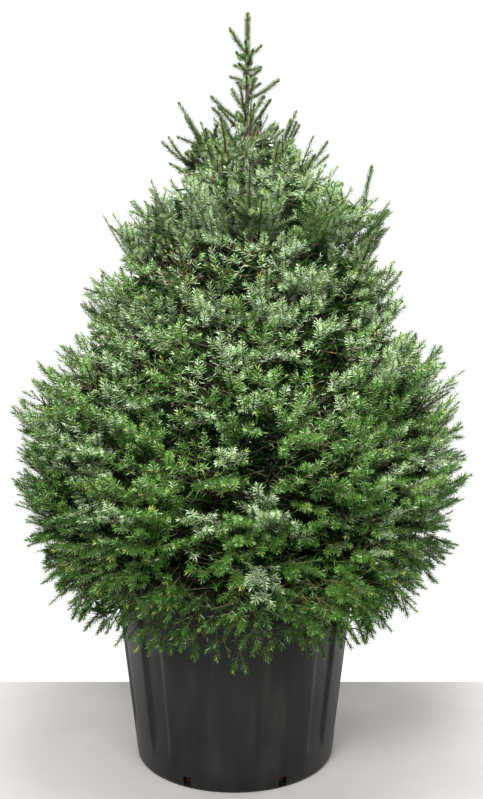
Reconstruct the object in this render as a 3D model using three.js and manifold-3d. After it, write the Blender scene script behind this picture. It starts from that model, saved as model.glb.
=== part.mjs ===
// A young Serbian spruce in a fluted black nursery pot.
// Millimetres, +Z up, origin at the middle of the pot's underside, the front of the plant towards -Y.
import * as THREE from 'three';
import { ConvexGeometry } from 'three/addons/geometries/ConvexGeometry.js';
import { mergeVertices } from 'three/addons/utils/BufferGeometryUtils.js';
import Module from 'manifold-3d';

const wasm = await Module();
wasm.setup();

// Clearance between neighbouring pieces, sizes of details too small to keep, and the seeded rule's start.
const GAP = 0.3;
const FINEST_CUT = 0.2;
const FINEST_LEAF = 0.4;
const SEED = 20;

// Pot: a tapered shell with flutes that fade out above the foot, a lip and drain slots.
const POT_HEIGHT = 460;
const POT_BASE_RADIUS = 244;
const POT_SLOPE = 0.137;
const POT_WALL = 4;
const POT_FLOOR = 6;
const POT_FOOT_BEVEL = 7;
const LIP_DEPTH = 26;
const LIP_OUT = 9;
const LIP_ROUND = 4;
const FLUTES = 12;
const FLUTE_DEPTH = 7;
const FLUTE_HALF_ANGLE = 7.5;
const FLUTE_TURN = 18;
const FLUTE_START = 45;
const FLUTE_FADE = 55;
const FLUTE_END = 405;
const DRAIN_SLOTS = 7;
const DRAIN_TURN = 26;
const DRAIN_WIDTH = 20;
const DRAIN_BOTTOM = 4;
const DRAIN_TOP = 26;

// Soil: fills the pot to a little below the lip, slightly mounded at the trunk.
const SOIL_TOP = 425;
const SOIL_MOUND = 6;
const SOIL_CLEARANCE = 0.5;

// Trunk: taper, root flare, lean towards +X and a slight sweep.
const TRUNK_TIP = 1884;
const TRUNK_FOOT_RADIUS = 26;
const TRUNK_TIP_RADIUS = 2.2;
const TRUNK_FLARE = 14;
const TRUNK_FLARE_HEIGHT = 45;
const TRUNK_LEAN = 32;
const TRUNK_SWEEP = 7;

// Crown: how far the outermost tips reach from the trunk to the left and to the right, by height.
const CROWN = [
  { height: 300, left: 340, right: 325 },
  { height: 380, left: 425, right: 440 },
  { height: 440, left: 475, right: 505 },
  { height: 500, left: 485, right: 520 },
  { height: 600, left: 505, right: 505 },
  { height: 700, left: 540, right: 560 },
  { height: 870, left: 560, right: 532 },
  { height: 950, left: 495, right: 516 },
  { height: 1000, left: 468, right: 488 },
  { height: 1045, left: 390, right: 410 },
  { height: 1090, left: 388, right: 400 },
  { height: 1150, left: 412, right: 402 },
  { height: 1210, left: 376, right: 402 },
  { height: 1255, left: 310, right: 300 },
  { height: 1330, left: 344, right: 352 },
  { height: 1365, left: 318, right: 345 },
  { height: 1395, left: 215, right: 325 },
  { height: 1460, left: 165, right: 240 },
  { height: 1540, left: 188, right: 216 },
  { height: 1580, left: 160, right: 160 },
  { height: 1625, left: 125, right: 122 },
  { height: 1670, left: 58, right: 58 },
  { height: 1730, left: 40, right: 44 },
  { height: 1830, left: 34, right: 40 },
  { height: 1912, left: 8, right: 8 },
];
const POT_KEEP_OUT = 18;
const TRUNK_KEEP_OUT = 14;
const SPACE_MARGIN = 1.5;

// Tiers from the ground up: the limbs of a whorl and the bearing of the first, the heights at which a limb
// leaves the trunk, bends and ends, the shares of its line at which it enters its mass and at which the
// mass is centred, and how much the twigs rise.
const TIERS = [
  { name: 'skirt', limbs: 9, first: 30, heights: [520, 640, 425], enters: 0.5, centred: 0.79, rise: -0.7 },
  { name: 'low', limbs: 7, first: 34, heights: [590, 640, 650], enters: 0.5, centred: 0.78, rise: 0.4 },
  { name: 'middle', limbs: 7, first: 13, heights: [690, 760, 850], enters: 0, centred: 0.77, rise: 0.6 },
  { name: 'waist', limbs: 6, first: 53, heights: [840, 920, 1090], enters: 0, centred: 0.76, rise: 0.7 },
  { name: 'shoulder', limbs: 4, first: 0, heights: [1030, 1110, 1320], enters: 0, centred: 0.71, rise: 0.8 },
  { name: 'neck', limbs: 4, first: 45, heights: [1210, 1300, 1545], enters: 0, centred: 0.69, rise: 0.9 },
  { name: 'head', limbs: 3, first: 30, heights: [1400, 1490, 1610], enters: 0, centred: 0.65, rise: 1.0 },
];
const LIMB_REACH_SHARE = 0.97;
const LIMB_BEND_SHARE = 0.54;
const LIMB_FOOT_RADIUS = 8;
const LIMB_TIP_RADIUS = 2.5;
const LIMB_STAGGER = 20;
const LIMB_SWING = 7;

// Masses: the core as a share of its space and the three-sided shoots that stand out of it, the twigs at the
// limb's end, and the outline of the toothed blade of a spray as shares of its length.
const CORE_SHARE = 0.79;
const CORE_LEAST = 14;
const CORE_SHOOTS = 30;
const CORE_SPREAD = 155;
const CORE_LIMIT = 260;
const SHOOT_LEAST = 0.9;
const SHOOT_FOOT = 0.19;
const GOLDEN_ANGLE = 137.508;
const TWIGS = 2;
const TWIG_SPREAD = 60;
const TWIG_LIMIT = 330;
const TWIG_SHORTEST = 45;
const TWIG_RADIUS = 5;
const TWIG_SUNK = 0.5;
const TWIG_TURN_JITTER = 30;
const TWIG_ROLL_JITTER = 70;
const SPRAY_EDGE = [[0.3, 0.04], [0.55, 0.27], [0.61, 0.1], [0.8, 0.18], [0.85, 0.06]];
const SPRAY_MIDDLE = 0.5;
const SPRAY_THICKNESS = 0.075;
const SPRAY_LIFT = 0.05;
const SPRAY_WIDTHS = [1, 0.75, 0.5];
const FRONT = -90;

// Leading shoots that stand out of the crown and its furthest tips: bearing, reach and height of the tip,
// length, lean.
const LEADING_SHOOTS = [
  { bearing: 0, reach: 330, height: 1495, length: 230, lean: 0.2 },
  { bearing: 180, reach: 374, height: 1208, length: 170, lean: 0.12 },
  { bearing: 0, reach: 452, height: 1052, length: 140, lean: 0.1 },
  { bearing: 180, reach: 180, height: 1665, length: 180, lean: 0.6 },
  { bearing: 180, reach: 205, height: 1572, length: 170, lean: 0.6 },
  { bearing: 0, reach: 130, height: 1642, length: 180, lean: 0.4 },
  { bearing: 0, reach: 212, height: 1560, length: 160, lean: 0.6 },
  { bearing: 180, reach: 265, height: 1400, length: 170, lean: 0.8 },
  { bearing: 180, reach: 352, height: 1335, length: 170, lean: 1.1 },
  { bearing: 0, reach: 410, height: 1215, length: 170, lean: 0.8 },
  { bearing: 0, reach: 518, height: 1020, length: 150, lean: 0.9 },
  { bearing: 0, reach: 374, height: 1375, length: 120, lean: 1.2 },
  { bearing: 180, reach: 425, height: 1130, length: 130, lean: 1.2 },
  { bearing: 180, reach: 505, height: 965, length: 140, lean: 1.5 },
  { bearing: 180, reach: 570, height: 880, length: 170, lean: 2 },
  { bearing: 180, reach: 545, height: 680, length: 160, lean: 2.5 },
  { bearing: 180, reach: 492, height: 490, length: 150, lean: 4 },
  { bearing: 0, reach: 540, height: 900, length: 160, lean: 1.6 },
  { bearing: 0, reach: 575, height: 705, length: 170, lean: 2.5 },
  { bearing: 0, reach: 532, height: 490, length: 150, lean: 4 },
];

// Leader: the sleeve of needles on the top of the trunk and its short shoots.
const LEADER_BOTTOM = 1640;
const LEADER_TOP = 1912;
const LEADER_COVER = 5;
const LEADER_TIP_RADIUS = 3;
const LEADER_SHOOTS = 9;
const LEADER_SPREAD = 38;
const LEADER_SPRAY = 90;

const BARK = new THREE.MeshStandardMaterial({ color: 0x5b4433, roughness: 0.9, metalness: 0 });
const NEEDLES = new THREE.MeshStandardMaterial({ color: 0x5d7a5c, roughness: 0.7, metalness: 0 });
const PLASTIC = new THREE.MeshStandardMaterial({ color: 0x1d1e20, roughness: 0.55, metalness: 0 });
const SOIL = new THREE.MeshStandardMaterial({ color: 0x3a291d, roughness: 1, metalness: 0 });
const SEEN_FROM_INSIDE = new THREE.MeshStandardMaterial({ side: THREE.DoubleSide });

const radians = THREE.MathUtils.degToRad;
const lerp = THREE.MathUtils.lerp;

// Numbers from 0 to 1 by a linear congruential rule, so that each run grows the same plant.
function seededRandom(seed) {
  let state = seed >>> 0;
  const next = () => {
    state = (Math.imul(state, 1664525) + 1013904223) >>> 0;
    return state / 4294967296;
  };
  next();
  next();
  return next;
}

// A copy of a geometry with its corner positions only.
function bareCopy(geometry) {
  const bare = geometry.clone();
  bare.deleteAttribute('normal');
  bare.deleteAttribute('uv');
  return bare;
}

// A closed geometry as a solid for joining and cutting.
function solidFrom(geometry) {
  const merged = mergeVertices(bareCopy(geometry), 1e-3);
  return new wasm.Manifold(new wasm.Mesh({
    numProp: 3,
    vertProperties: merged.getAttribute('position').array,
    triVerts: new Uint32Array(merged.index.array),
  }));
}

// The geometry of a solid.
function geometryFrom(solid) {
  const made = solid.getMesh();
  const geometry = new THREE.BufferGeometry();
  geometry.setAttribute('position', new THREE.BufferAttribute(made.vertProperties, 3));
  geometry.setIndex(new THREE.BufferAttribute(made.triVerts, 1));
  geometry.computeVertexNormals();
  return geometry;
}

// The largest body of a solid: loose scraps are dropped and sealed hollows filled until one body is left.
function mainBody(solid, finest) {
  let bodies = [];
  let body = solid.simplify(finest);
  do {
    bodies = solidFrom(geometryFrom(body)).decompose();
    body = bodies.reduce((best, each) => (each.volume() > best.volume() ? each : best));
  } while (bodies.length > 1);
  return body;
}

// A named mesh from a solid.
function meshFrom(name, solid, material) {
  const mesh = new THREE.Mesh(geometryFrom(solid), material);
  mesh.name = name;
  return mesh;
}

// Radius of the pot's plain outer wall at a height.
function potRadius(height) {
  return POT_BASE_RADIUS + POT_SLOPE * height;
}

// How deep a flute is at a bearing from the front and a height, from 0 to 1.
function fluteShare(bearing, height) {
  const pitch = 360 / FLUTES;
  const turned = THREE.MathUtils.euclideanModulo(bearing - FLUTE_TURN + pitch / 2, pitch) - pitch / 2;
  const across = Math.max(0, 1 - Math.abs(turned) / FLUTE_HALF_ANGLE);
  const rising = THREE.MathUtils.clamp((height - FLUTE_START) / FLUTE_FADE, 0, 1);
  return height > FLUTE_END + 1 ? 0 : across * rising;
}

// A turned profile with the flutes pressed into it.
function flutedTurning(profile) {
  const points = profile.map(([radius, height]) => new THREE.Vector2(radius, height));
  const geometry = new THREE.LatheGeometry(points, FLUTES * 4, radians(FLUTE_TURN));
  geometry.rotateX(Math.PI / 2);
  const position = geometry.getAttribute('position');
  for (let i = 0; i < position.count; i += 1) {
    const x = position.getX(i);
    const y = position.getY(i);
    const radius = Math.hypot(x, y);
    if (radius > 1) {
      const bearing = THREE.MathUtils.radToDeg(Math.atan2(x, -y));
      const pressed = 1 - (FLUTE_DEPTH * fluteShare(bearing, position.getZ(i))) / radius;
      position.setXY(i, x * pressed, y * pressed);
    }
  }
  return solidFrom(geometry);
}

// The pot's shell with its drain slots.
function buildPot() {
  const wallHeights = [FLUTE_START, FLUTE_START + FLUTE_FADE, FLUTE_END];
  const lipBottom = POT_HEIGHT - LIP_DEPTH;
  const lipRadius = potRadius(POT_HEIGHT) + LIP_OUT;
  const outside = wallHeights.map((height) => [potRadius(height), height]);
  const inside = wallHeights.map((height) => [potRadius(height) - POT_WALL, height]).reverse();
  let pot = flutedTurning([
    [0, 0],
    [POT_BASE_RADIUS - POT_FOOT_BEVEL, 0],
    [potRadius(POT_FOOT_BEVEL), POT_FOOT_BEVEL],
    ...outside,
    [potRadius(lipBottom), lipBottom],
    [lipRadius, lipBottom + LIP_ROUND],
    [lipRadius, POT_HEIGHT - LIP_ROUND],
    [lipRadius - LIP_ROUND, POT_HEIGHT],
    [potRadius(POT_HEIGHT) - POT_WALL, POT_HEIGHT],
    ...inside,
    [potRadius(POT_FLOOR) - POT_WALL, POT_FLOOR],
    [0, POT_FLOOR],
  ]);
  for (let k = 0; k < DRAIN_SLOTS; k += 1) {
    const slot = new THREE.BoxGeometry(DRAIN_WIDTH, 4 * POT_WALL, DRAIN_TOP - DRAIN_BOTTOM);
    slot.translate(0, 2 - POT_BASE_RADIUS, (DRAIN_TOP + DRAIN_BOTTOM) / 2);
    slot.rotateZ(radians(DRAIN_TURN + (360 / DRAIN_SLOTS) * k));
    pot = pot.subtract(solidFrom(slot));
  }
  return meshFrom('pot', mainBody(pot, FINEST_CUT), PLASTIC);
}

// The room the whole pot takes up, grown a little, for cutting the foliage clear of it.
function potRoom() {
  const height = POT_HEIGHT + 2 * GAP;
  const lipRadius = potRadius(POT_HEIGHT) + 2 * LIP_OUT;
  const geometry = new THREE.CylinderGeometry(lipRadius, POT_BASE_RADIUS + LIP_OUT, height, 48);
  geometry.rotateX(Math.PI / 2);
  geometry.translate(0, 0, height / 2);
  return solidFrom(geometry);
}

// The soil inside the shell, clear of the flutes.
function buildSoil() {
  const bottom = POT_FLOOR + GAP;
  const innerRadius = (height) => potRadius(height) - POT_WALL - FLUTE_DEPTH - SOIL_CLEARANCE;
  const profile = [
    [0, bottom],
    [innerRadius(bottom), bottom],
    [innerRadius(SOIL_TOP) - SOIL_MOUND, SOIL_TOP - SOIL_MOUND],
    [2 * TRUNK_FOOT_RADIUS, SOIL_TOP],
    [0, SOIL_TOP],
  ];
  const geometry = new THREE.LatheGeometry(profile.map((each) => new THREE.Vector2(...each)), 30);
  geometry.rotateX(Math.PI / 2);
  return meshFrom('soil', solidFrom(geometry), SOIL);
}

// Middle of the trunk at a height.
function trunkMiddle(height) {
  const share = (height - SOIL_TOP) / (TRUNK_TIP - SOIL_TOP);
  const x = TRUNK_LEAN * share + TRUNK_SWEEP * Math.sin(Math.PI * share);
  const y = TRUNK_SWEEP * Math.sin(2 * Math.PI * share);
  return new THREE.Vector3(x, y, height);
}

// Radius of the trunk at a height.
function trunkRadius(height) {
  const share = THREE.MathUtils.clamp((height - SOIL_TOP) / (TRUNK_TIP - SOIL_TOP), 0, 1);
  const flare = TRUNK_FLARE * Math.exp(-(height - SOIL_TOP) / TRUNK_FLARE_HEIGHT);
  return lerp(TRUNK_FOOT_RADIUS, TRUNK_TIP_RADIUS, share ** 0.85) + flare;
}

// A point at a bearing and a reach from the trunk.
function fromTrunk(bearing, reach, height) {
  const outward = new THREE.Vector3(Math.cos(radians(bearing)), Math.sin(radians(bearing)), 0);
  return trunkMiddle(height).addScaledVector(outward, reach);
}

// Part of the trunk's middle line, with level sections.
class TrunkLine extends THREE.Curve {
  constructor(bottom, top) {
    super();
    this.bottom = bottom;
    this.top = top;
  }

  getPoint(share) {
    return trunkMiddle(lerp(this.bottom, this.top, share));
  }

  getTangent() {
    return new THREE.Vector3(0, 0, 1);
  }
}

// Part of a longer line, from one share of it to another.
class PartOfLine extends THREE.Curve {
  constructor(whole, from, to) {
    super();
    this.whole = whole;
    this.from = from;
    this.to = to;
  }

  getPoint(share) {
    return this.whole.getPoint(lerp(this.from, this.to, share));
  }

  getTangent(share) {
    return this.whole.getTangent(lerp(this.from, this.to, share));
  }
}

// A round limb bent along a line, its radius given by the share of the way along.
function limb(line, radiusAt, sides, steps) {
  const geometry = new THREE.CylinderGeometry(1, 1, 1, sides, steps);
  const position = geometry.getAttribute('position');
  const chord = line.getPoint(1).sub(line.getPoint(0)).normalize();
  const level = Math.abs(chord.z) > 0.85 ? new THREE.Vector3(1, 0, 0) : new THREE.Vector3(0, 0, 1);
  for (let i = 0; i < position.count; i += 1) {
    const share = position.getY(i) + 0.5;
    const along = line.getTangent(share);
    const across = level.clone().addScaledVector(along, -level.dot(along)).normalize();
    const third = across.clone().cross(along);
    const radius = radiusAt(share);
    const point = line.getPoint(share);
    point.addScaledVector(across, radius * position.getX(i));
    point.addScaledVector(third, radius * position.getZ(i));
    position.setXYZ(i, point.x, point.y, point.z);
  }
  return solidFrom(geometry);
}

// The trunk, or the same grown by a clearance for cutting its neighbours.
function trunkSolid(clearance) {
  const bottom = SOIL_TOP + GAP - clearance;
  const top = TRUNK_TIP + clearance;
  return limb(
    new TrunkLine(bottom, top),
    (share) => trunkRadius(lerp(bottom, top, share)) + clearance,
    9,
    15,
  );
}

// Reach of the crown's outermost tips at a bearing and a height: the left and the right eased together.
function crownReach(bearing, height) {
  const above = CROWN.findIndex((each) => each.height > height);
  if (above < 1) {
    return 0;
  }
  const [lower, upper] = [CROWN[above - 1], CROWN[above]];
  const share = (height - lower.height) / (upper.height - lower.height);
  const left = lerp(lower.left, upper.left, share);
  const right = lerp(lower.right, upper.right, share);
  return lerp(left, right, (1 + Math.cos(radians(bearing))) / 2);
}

// Lines of all the limbs, tier by tier, each with the centre of its mass.
function layOutLimbs() {
  const limbs = [];
  const random = seededRandom(SEED);
  TIERS.forEach((tier) => {
    for (let k = 0; k < tier.limbs; k += 1) {
      const swing = LIMB_SWING * (2 * random() - 1);
      const bearing = tier.first + (360 / tier.limbs) * k + swing;
      const stagger = LIMB_STAGGER * ((k % 3) - 1);
      const [leaves, bends, ends] = tier.heights.map((height) => height + stagger);
      const reach = crownReach(bearing, ends) * LIMB_REACH_SHARE;
      const line = new THREE.QuadraticBezierCurve3(
        trunkMiddle(leaves),
        fromTrunk(bearing, reach * LIMB_BEND_SHARE, bends),
        fromTrunk(bearing, reach, ends),
      );
      const centre = line.getPoint(tier.centred);
      limbs.push({ tier, number: k + 1, bearing, line, centre });
    }
  });
  return limbs;
}

const LIMBS = layOutLimbs();
const CENTRES = [...LIMBS.map((each) => each.centre), trunkMiddle(lerp(LEADER_BOTTOM, LEADER_TOP, 0.7))];
const TRUNK_CLEAR = trunkSolid(GAP);

// Radius of a limb by the share of its line.
function limbRadius(share) {
  return lerp(LIMB_FOOT_RADIUS, LIMB_TIP_RADIUS, share);
}

// Whether a point is nearer to one mass's centre than to every other, by a margin.
function inCell(point, index) {
  const own = CENTRES[index];
  return CENTRES.every((other, k) => {
    if (k === index) {
      return true;
    }
    const apart = other.clone().sub(own);
    const middle = own.clone().add(other).multiplyScalar(0.5);
    return point.clone().sub(middle).dot(apart) < -SPACE_MARGIN * apart.length();
  });
}

// Whether a point is clear of the trunk and the pot.
function inOpen(point) {
  const middle = trunkMiddle(point.z);
  const fromAxis = Math.hypot(point.x, point.y);
  const overPot = fromAxis < potRadius(POT_HEIGHT) + LIP_OUT + POT_KEEP_OUT;
  if (overPot && point.z < POT_HEIGHT + POT_KEEP_OUT) {
    return false;
  }
  const reach = Math.hypot(point.x - middle.x, point.y - middle.y);
  return reach > trunkRadius(point.z) + TRUNK_KEEP_OUT;
}

// Whether a point lies in a mass's own space within the crown.
function inSpace(point, index) {
  const away = point.clone().sub(trunkMiddle(point.z));
  const bearing = THREE.MathUtils.radToDeg(Math.atan2(away.y, away.x));
  return away.length() <= crownReach(bearing, point.z) && inOpen(point) && inCell(point, index);
}

// How far a ray runs before it leaves a mass's space.
function runInSpace(from, way, index, limit) {
  const step = 5;
  let run = 0;
  while (run + step <= limit && inSpace(from.clone().addScaledVector(way, run + step), index)) {
    run += step;
  }
  return run;
}

// A direction by its spread from a limb's end and its turn round it.
function fromAhead(line, spread, turn) {
  const ahead = line.getTangent(1);
  const side = new THREE.Vector3(0, 0, 1).cross(ahead).normalize();
  const above = ahead.clone().cross(side);
  return ahead.multiplyScalar(Math.cos(spread))
    .addScaledVector(side, Math.sin(spread) * Math.cos(turn))
    .addScaledVector(above, Math.sin(spread) * Math.sin(turn));
}

// The core of a mass: a smaller copy of its space, drawn out into three-sided shoots set by the golden angle.
function coreSolid(each, index, random) {
  const corners = [{ way: fromAhead(each.line, Math.PI, 0), share: CORE_SHARE }];
  for (let k = 0; k < CORE_SHOOTS; k += 1) {
    const spread = Math.acos(lerp(1, Math.cos(radians(CORE_SPREAD)), (k + 0.5) / CORE_SHOOTS));
    const way = fromAhead(each.line, spread, radians(GOLDEN_ANGLE * k));
    corners.push({ way, share: lerp(SHOOT_LEAST, 1, random()) });
    const beside = new THREE.Vector3(way.y, -way.x, 0).normalize();
    const turn = 2 * Math.PI * random();
    for (let corner = 0; corner < 3; corner += 1) {
      const away = beside.clone().applyAxisAngle(way, turn + (corner * 2 * Math.PI) / 3);
      const foot = way.clone().addScaledVector(away, SHOOT_FOOT).normalize();
      corners.push({ way: foot, share: CORE_SHARE * lerp(0.85, 1.15, random()) });
    }
  }
  const hull = new ConvexGeometry(corners.map(({ way }) => way));
  const position = hull.getAttribute('position');
  const points = corners.map(({ way, share }) => {
    const run = runInSpace(CENTRES[index], way, index, CORE_LIMIT);
    return CENTRES[index].clone().addScaledVector(way, Math.max(CORE_LEAST, run * share));
  });
  for (let i = 0; i < position.count; i += 1) {
    const at = new THREE.Vector3().fromBufferAttribute(position, i);
    const k = corners.findIndex(({ way }) => way.distanceTo(at) < 1e-4);
    position.setXYZ(i, points[k].x, points[k].y, points[k].z);
  }
  return solidFrom(hull);
}

// Outline of a spray: root, teeth of one side, tip, teeth of the other side.
function sprayOutline(root, tip, face, width) {
  const along = tip.clone().sub(root);
  const length = along.length();
  const across = along.clone().cross(face).normalize();
  const place = (share, side) => root.clone()
    .addScaledVector(along, share)
    .addScaledVector(across, side * width * length)
    .addScaledVector(face, SPRAY_LIFT * length * (share * share - Math.abs(side)));
  const left = SPRAY_EDGE.map(([share, side]) => place(share, side));
  const right = SPRAY_EDGE.map(([share, side]) => place(share, -side)).reverse();
  return [root.clone(), ...left, place(1, 0), ...right];
}

// The highest and lowest points of a spray's thick middle, or of the same grown by a clearance.
function sprayPeaks(root, tip, face, clearance) {
  const middle = root.clone().lerp(tip, SPRAY_MIDDLE);
  const height = SPRAY_THICKNESS * root.distanceTo(tip) + clearance;
  return [height, -height].map((each) => middle.clone().addScaledVector(face, each));
}

// A twig that widens into a toothed blade, thick in the middle and thin at its edge.
function spraySolid(root, tip, face, width, clearance) {
  const outline = sprayOutline(root, tip, face, width);
  const [top, under] = sprayPeaks(root, tip, face, clearance);
  const corners = [];
  outline.forEach((corner, k) => {
    const following = outline[(k + 1) % outline.length];
    corners.push(top, corner, following, under, following, corner);
  });
  return solidFrom(new THREE.BufferGeometry().setFromPoints(corners));
}

// The widest spray whose peaks, corners and edge middles pass a test, or nothing.
function fittedSpray(root, tip, face, test) {
  if (!sprayPeaks(root, tip, face, 0).every(test)) {
    return [];
  }
  const width = SPRAY_WIDTHS.find((each) => {
    const outer = sprayOutline(root, tip, face, each).slice(1);
    return outer.every((corner, k) => {
      const following = outer[(k + 1) % outer.length];
      return test(corner) && test(corner.clone().lerp(following, 0.5));
    });
  });
  return width === undefined ? [] : [spraySolid(root, tip, face, width, 0)];
}

// The flat side of a spray: turned out of the crown and up as far as its line allows, rolled a little.
function sprayFace(way, bearing, roll) {
  const out = new THREE.Vector3(Math.cos(radians(bearing)), Math.sin(radians(bearing)), 0.4);
  const face = out.addScaledVector(way, -out.dot(way)).normalize();
  return face.applyAxisAngle(way, roll);
}

// How far along a twig the core hides it.
function hiddenRun(start, way, core) {
  const hits = new THREE.Raycaster(start, way).intersectObject(core);
  return hits.length ? hits[hits.length - 1].distance : 0;
}

// Twigs set round the limb's end by the golden angle, each with a spray where the space has room for one.
function growTwigs(each, index, core, random) {
  const { tier, line } = each;
  const centre = CENTRES[index];
  const sprays = [];
  for (let k = 0; k < TWIGS; k += 1) {
    const spread = radians(TWIG_SPREAD * Math.sqrt((k + 0.5) / TWIGS));
    const turn = GOLDEN_ANGLE * k + TWIG_TURN_JITTER * (random() - 0.5);
    const way = fromAhead(line, spread, radians(turn));
    way.z += tier.rise;
    way.normalize();
    const roll = radians(TWIG_ROLL_JITTER * (random() - 0.5));
    const run = runInSpace(centre, way, index, TWIG_LIMIT);
    const hidden = hiddenRun(centre, way, core);
    const root = centre.clone().addScaledVector(way, hidden - TWIG_SUNK * (run - hidden));
    const tip = centre.clone().addScaledVector(way, run);
    if (run - hidden > TWIG_SHORTEST) {
      const face = sprayFace(way, each.bearing, roll);
      sprays.push(...fittedSpray(root, tip, face, (point) => inSpace(point, index)));
    }
  }
  return sprays;
}

// The root and tip of a leading shoot, its flat side turned to the front, and the mass that bears it.
function layOutShoot({ bearing, reach, height, length, lean }) {
  const rise = length / Math.hypot(1, lean);
  const tip = fromTrunk(bearing, reach, height);
  const root = fromTrunk(bearing, reach - lean * rise, height - rise);
  const face = sprayFace(tip.clone().sub(root).normalize(), FRONT, 0);
  const middle = root.clone().lerp(tip, 0.3);
  const nearest = Math.min(...CENTRES.map((centre) => centre.distanceTo(middle)));
  const index = CENTRES.findIndex((centre) => centre.distanceTo(middle) === nearest);
  return { root, tip, face, index };
}

// A leading shoot on a bare twig, or the same grown for cutting other masses clear of it.
function shootSolid({ root, tip, face, index }, grown) {
  const way = tip.clone().sub(root).normalize();
  const spray = spraySolid(root, tip.clone().addScaledVector(way, grown), face, 1 + 0.03 * grown, grown);
  const twigLine = new THREE.LineCurve3(CENTRES[index], root.clone().lerp(tip, SPRAY_MIDDLE / 2));
  return spray.add(limb(twigLine, () => TWIG_RADIUS + grown, 3, 1));
}

// The stem of a mass from its bough or the trunk to the mass's centre, or the same grown by a clearance.
function stemSolid({ tier, line }, clearance) {
  const stemLine = new PartOfLine(line, tier.enters, tier.centred);
  return limb(stemLine, (share) => limbRadius(lerp(tier.enters, tier.centred, share)) + clearance, 4, 3);
}

// One mass: stem, core and sprays fused, cut clear of the pot, the trunk, the boughs and other stems.
function buildMass(each, index, clearances) {
  const { tier, number } = each;
  const random = seededRandom(SEED + 101 * (index + 1));
  const stem = stemSolid(each, 0);
  const core = coreSolid(each, index, random);
  const coreMesh = new THREE.Mesh(geometryFrom(core), SEEN_FROM_INSIDE);
  const sprays = growTwigs(each, index, coreMesh, random);
  const shoots = SHOOTS.filter((shoot) => shoot.index === index).map((shoot) => shootSolid(shoot, 0));
  const otherShoots = SHOOTS.filter((shoot) => shoot.index !== index).map((shoot) => shootSolid(shoot, 2));
  const otherStems = LIMBS.filter((other) => other !== each).map((other) => stemSolid(other, GAP));
  let mass = wasm.Manifold.union([stem, core, ...sprays, ...shoots]).simplify(FINEST_LEAF);
  [...clearances, ...otherShoots, ...otherStems].forEach((clear) => {
    mass = mass.subtract(clear);
  });
  return meshFrom(`foliage_${tier.name}_${number}`, mainBody(mass, FINEST_CUT), NEEDLES);
}

// The bough of a limb up to where it enters its mass, or the same grown by a clearance.
function boughSolid(each, clearance) {
  const { tier, line } = each;
  const end = tier.enters + clearance / line.getLength();
  return limb(new PartOfLine(line, 0, end), (share) => limbRadius(share * end) + clearance, 5, 3);
}

// The leader's needles: a sleeve round the top of the trunk with short rising shoots.
function buildLeader() {
  const index = CENTRES.length - 1;
  const random = seededRandom(SEED + 7);
  const sleeveRadius = (share) => {
    const height = lerp(LEADER_BOTTOM, LEADER_TOP, share);
    return height > TRUNK_TIP ? LEADER_TIP_RADIUS : trunkRadius(height) + LEADER_COVER;
  };
  const pieces = [limb(new TrunkLine(LEADER_BOTTOM, LEADER_TOP), sleeveRadius, 6, 9)];
  for (let k = 0; k < LEADER_SHOOTS; k += 1) {
    const share = (k + 0.5) / LEADER_SHOOTS;
    const bearing = GOLDEN_ANGLE * k + TWIG_TURN_JITTER * (random() - 0.5);
    const spread = radians(LEADER_SPREAD + 16 * (random() - 0.5));
    const start = trunkMiddle(lerp(LEADER_BOTTOM + 10, TRUNK_TIP - 20, share));
    const outward = new THREE.Vector3(Math.cos(radians(bearing)), Math.sin(radians(bearing)), 0);
    const way = outward.multiplyScalar(Math.sin(spread)).setZ(Math.cos(spread));
    const length = lerp(LEADER_SPRAY, 0.35 * LEADER_SPRAY, share);
    const tip = start.clone().addScaledVector(way, length);
    const face = sprayFace(way, bearing, radians(40 * (random() - 0.5)));
    const inOwnCell = (point) => inCell(point, index);
    pieces.push(...fittedSpray(start, tip, face, inOwnCell));
  }
  const leader = wasm.Manifold.union(pieces).subtract(TRUNK_CLEAR);
  return meshFrom('foliage_leader', mainBody(leader, FINEST_CUT), NEEDLES);
}

const SHOOTS = LEADING_SHOOTS.map(layOutShoot);

// The whole plant in its pot.
function buildPlant() {
  const plant = new THREE.Group();
  plant.name = 'potted_spruce';
  plant.add(buildPot(), buildSoil());
  plant.add(meshFrom('trunk', trunkSolid(0), BARK));
  const boughed = LIMBS.filter((each) => each.tier.enters > 0);
  const clearances = [potRoom(), TRUNK_CLEAR, ...boughed.map((each) => boughSolid(each, GAP))];
  boughed.forEach((each) => {
    const bough = mainBody(boughSolid(each, 0).subtract(TRUNK_CLEAR), FINEST_CUT);
    plant.add(meshFrom(`bough_${each.tier.name}_${each.number}`, bough, BARK));
  });
  LIMBS.forEach((each, index) => plant.add(buildMass(each, index, clearances)));
  plant.add(buildLeader());
  return plant;
}

export default buildPlant();
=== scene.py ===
# A young Serbian spruce in a fluted black nursery pot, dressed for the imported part.
# Metres and degrees, +Z up, origin at the middle of the pot's underside, the front of the plant towards -Y.
import math

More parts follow.
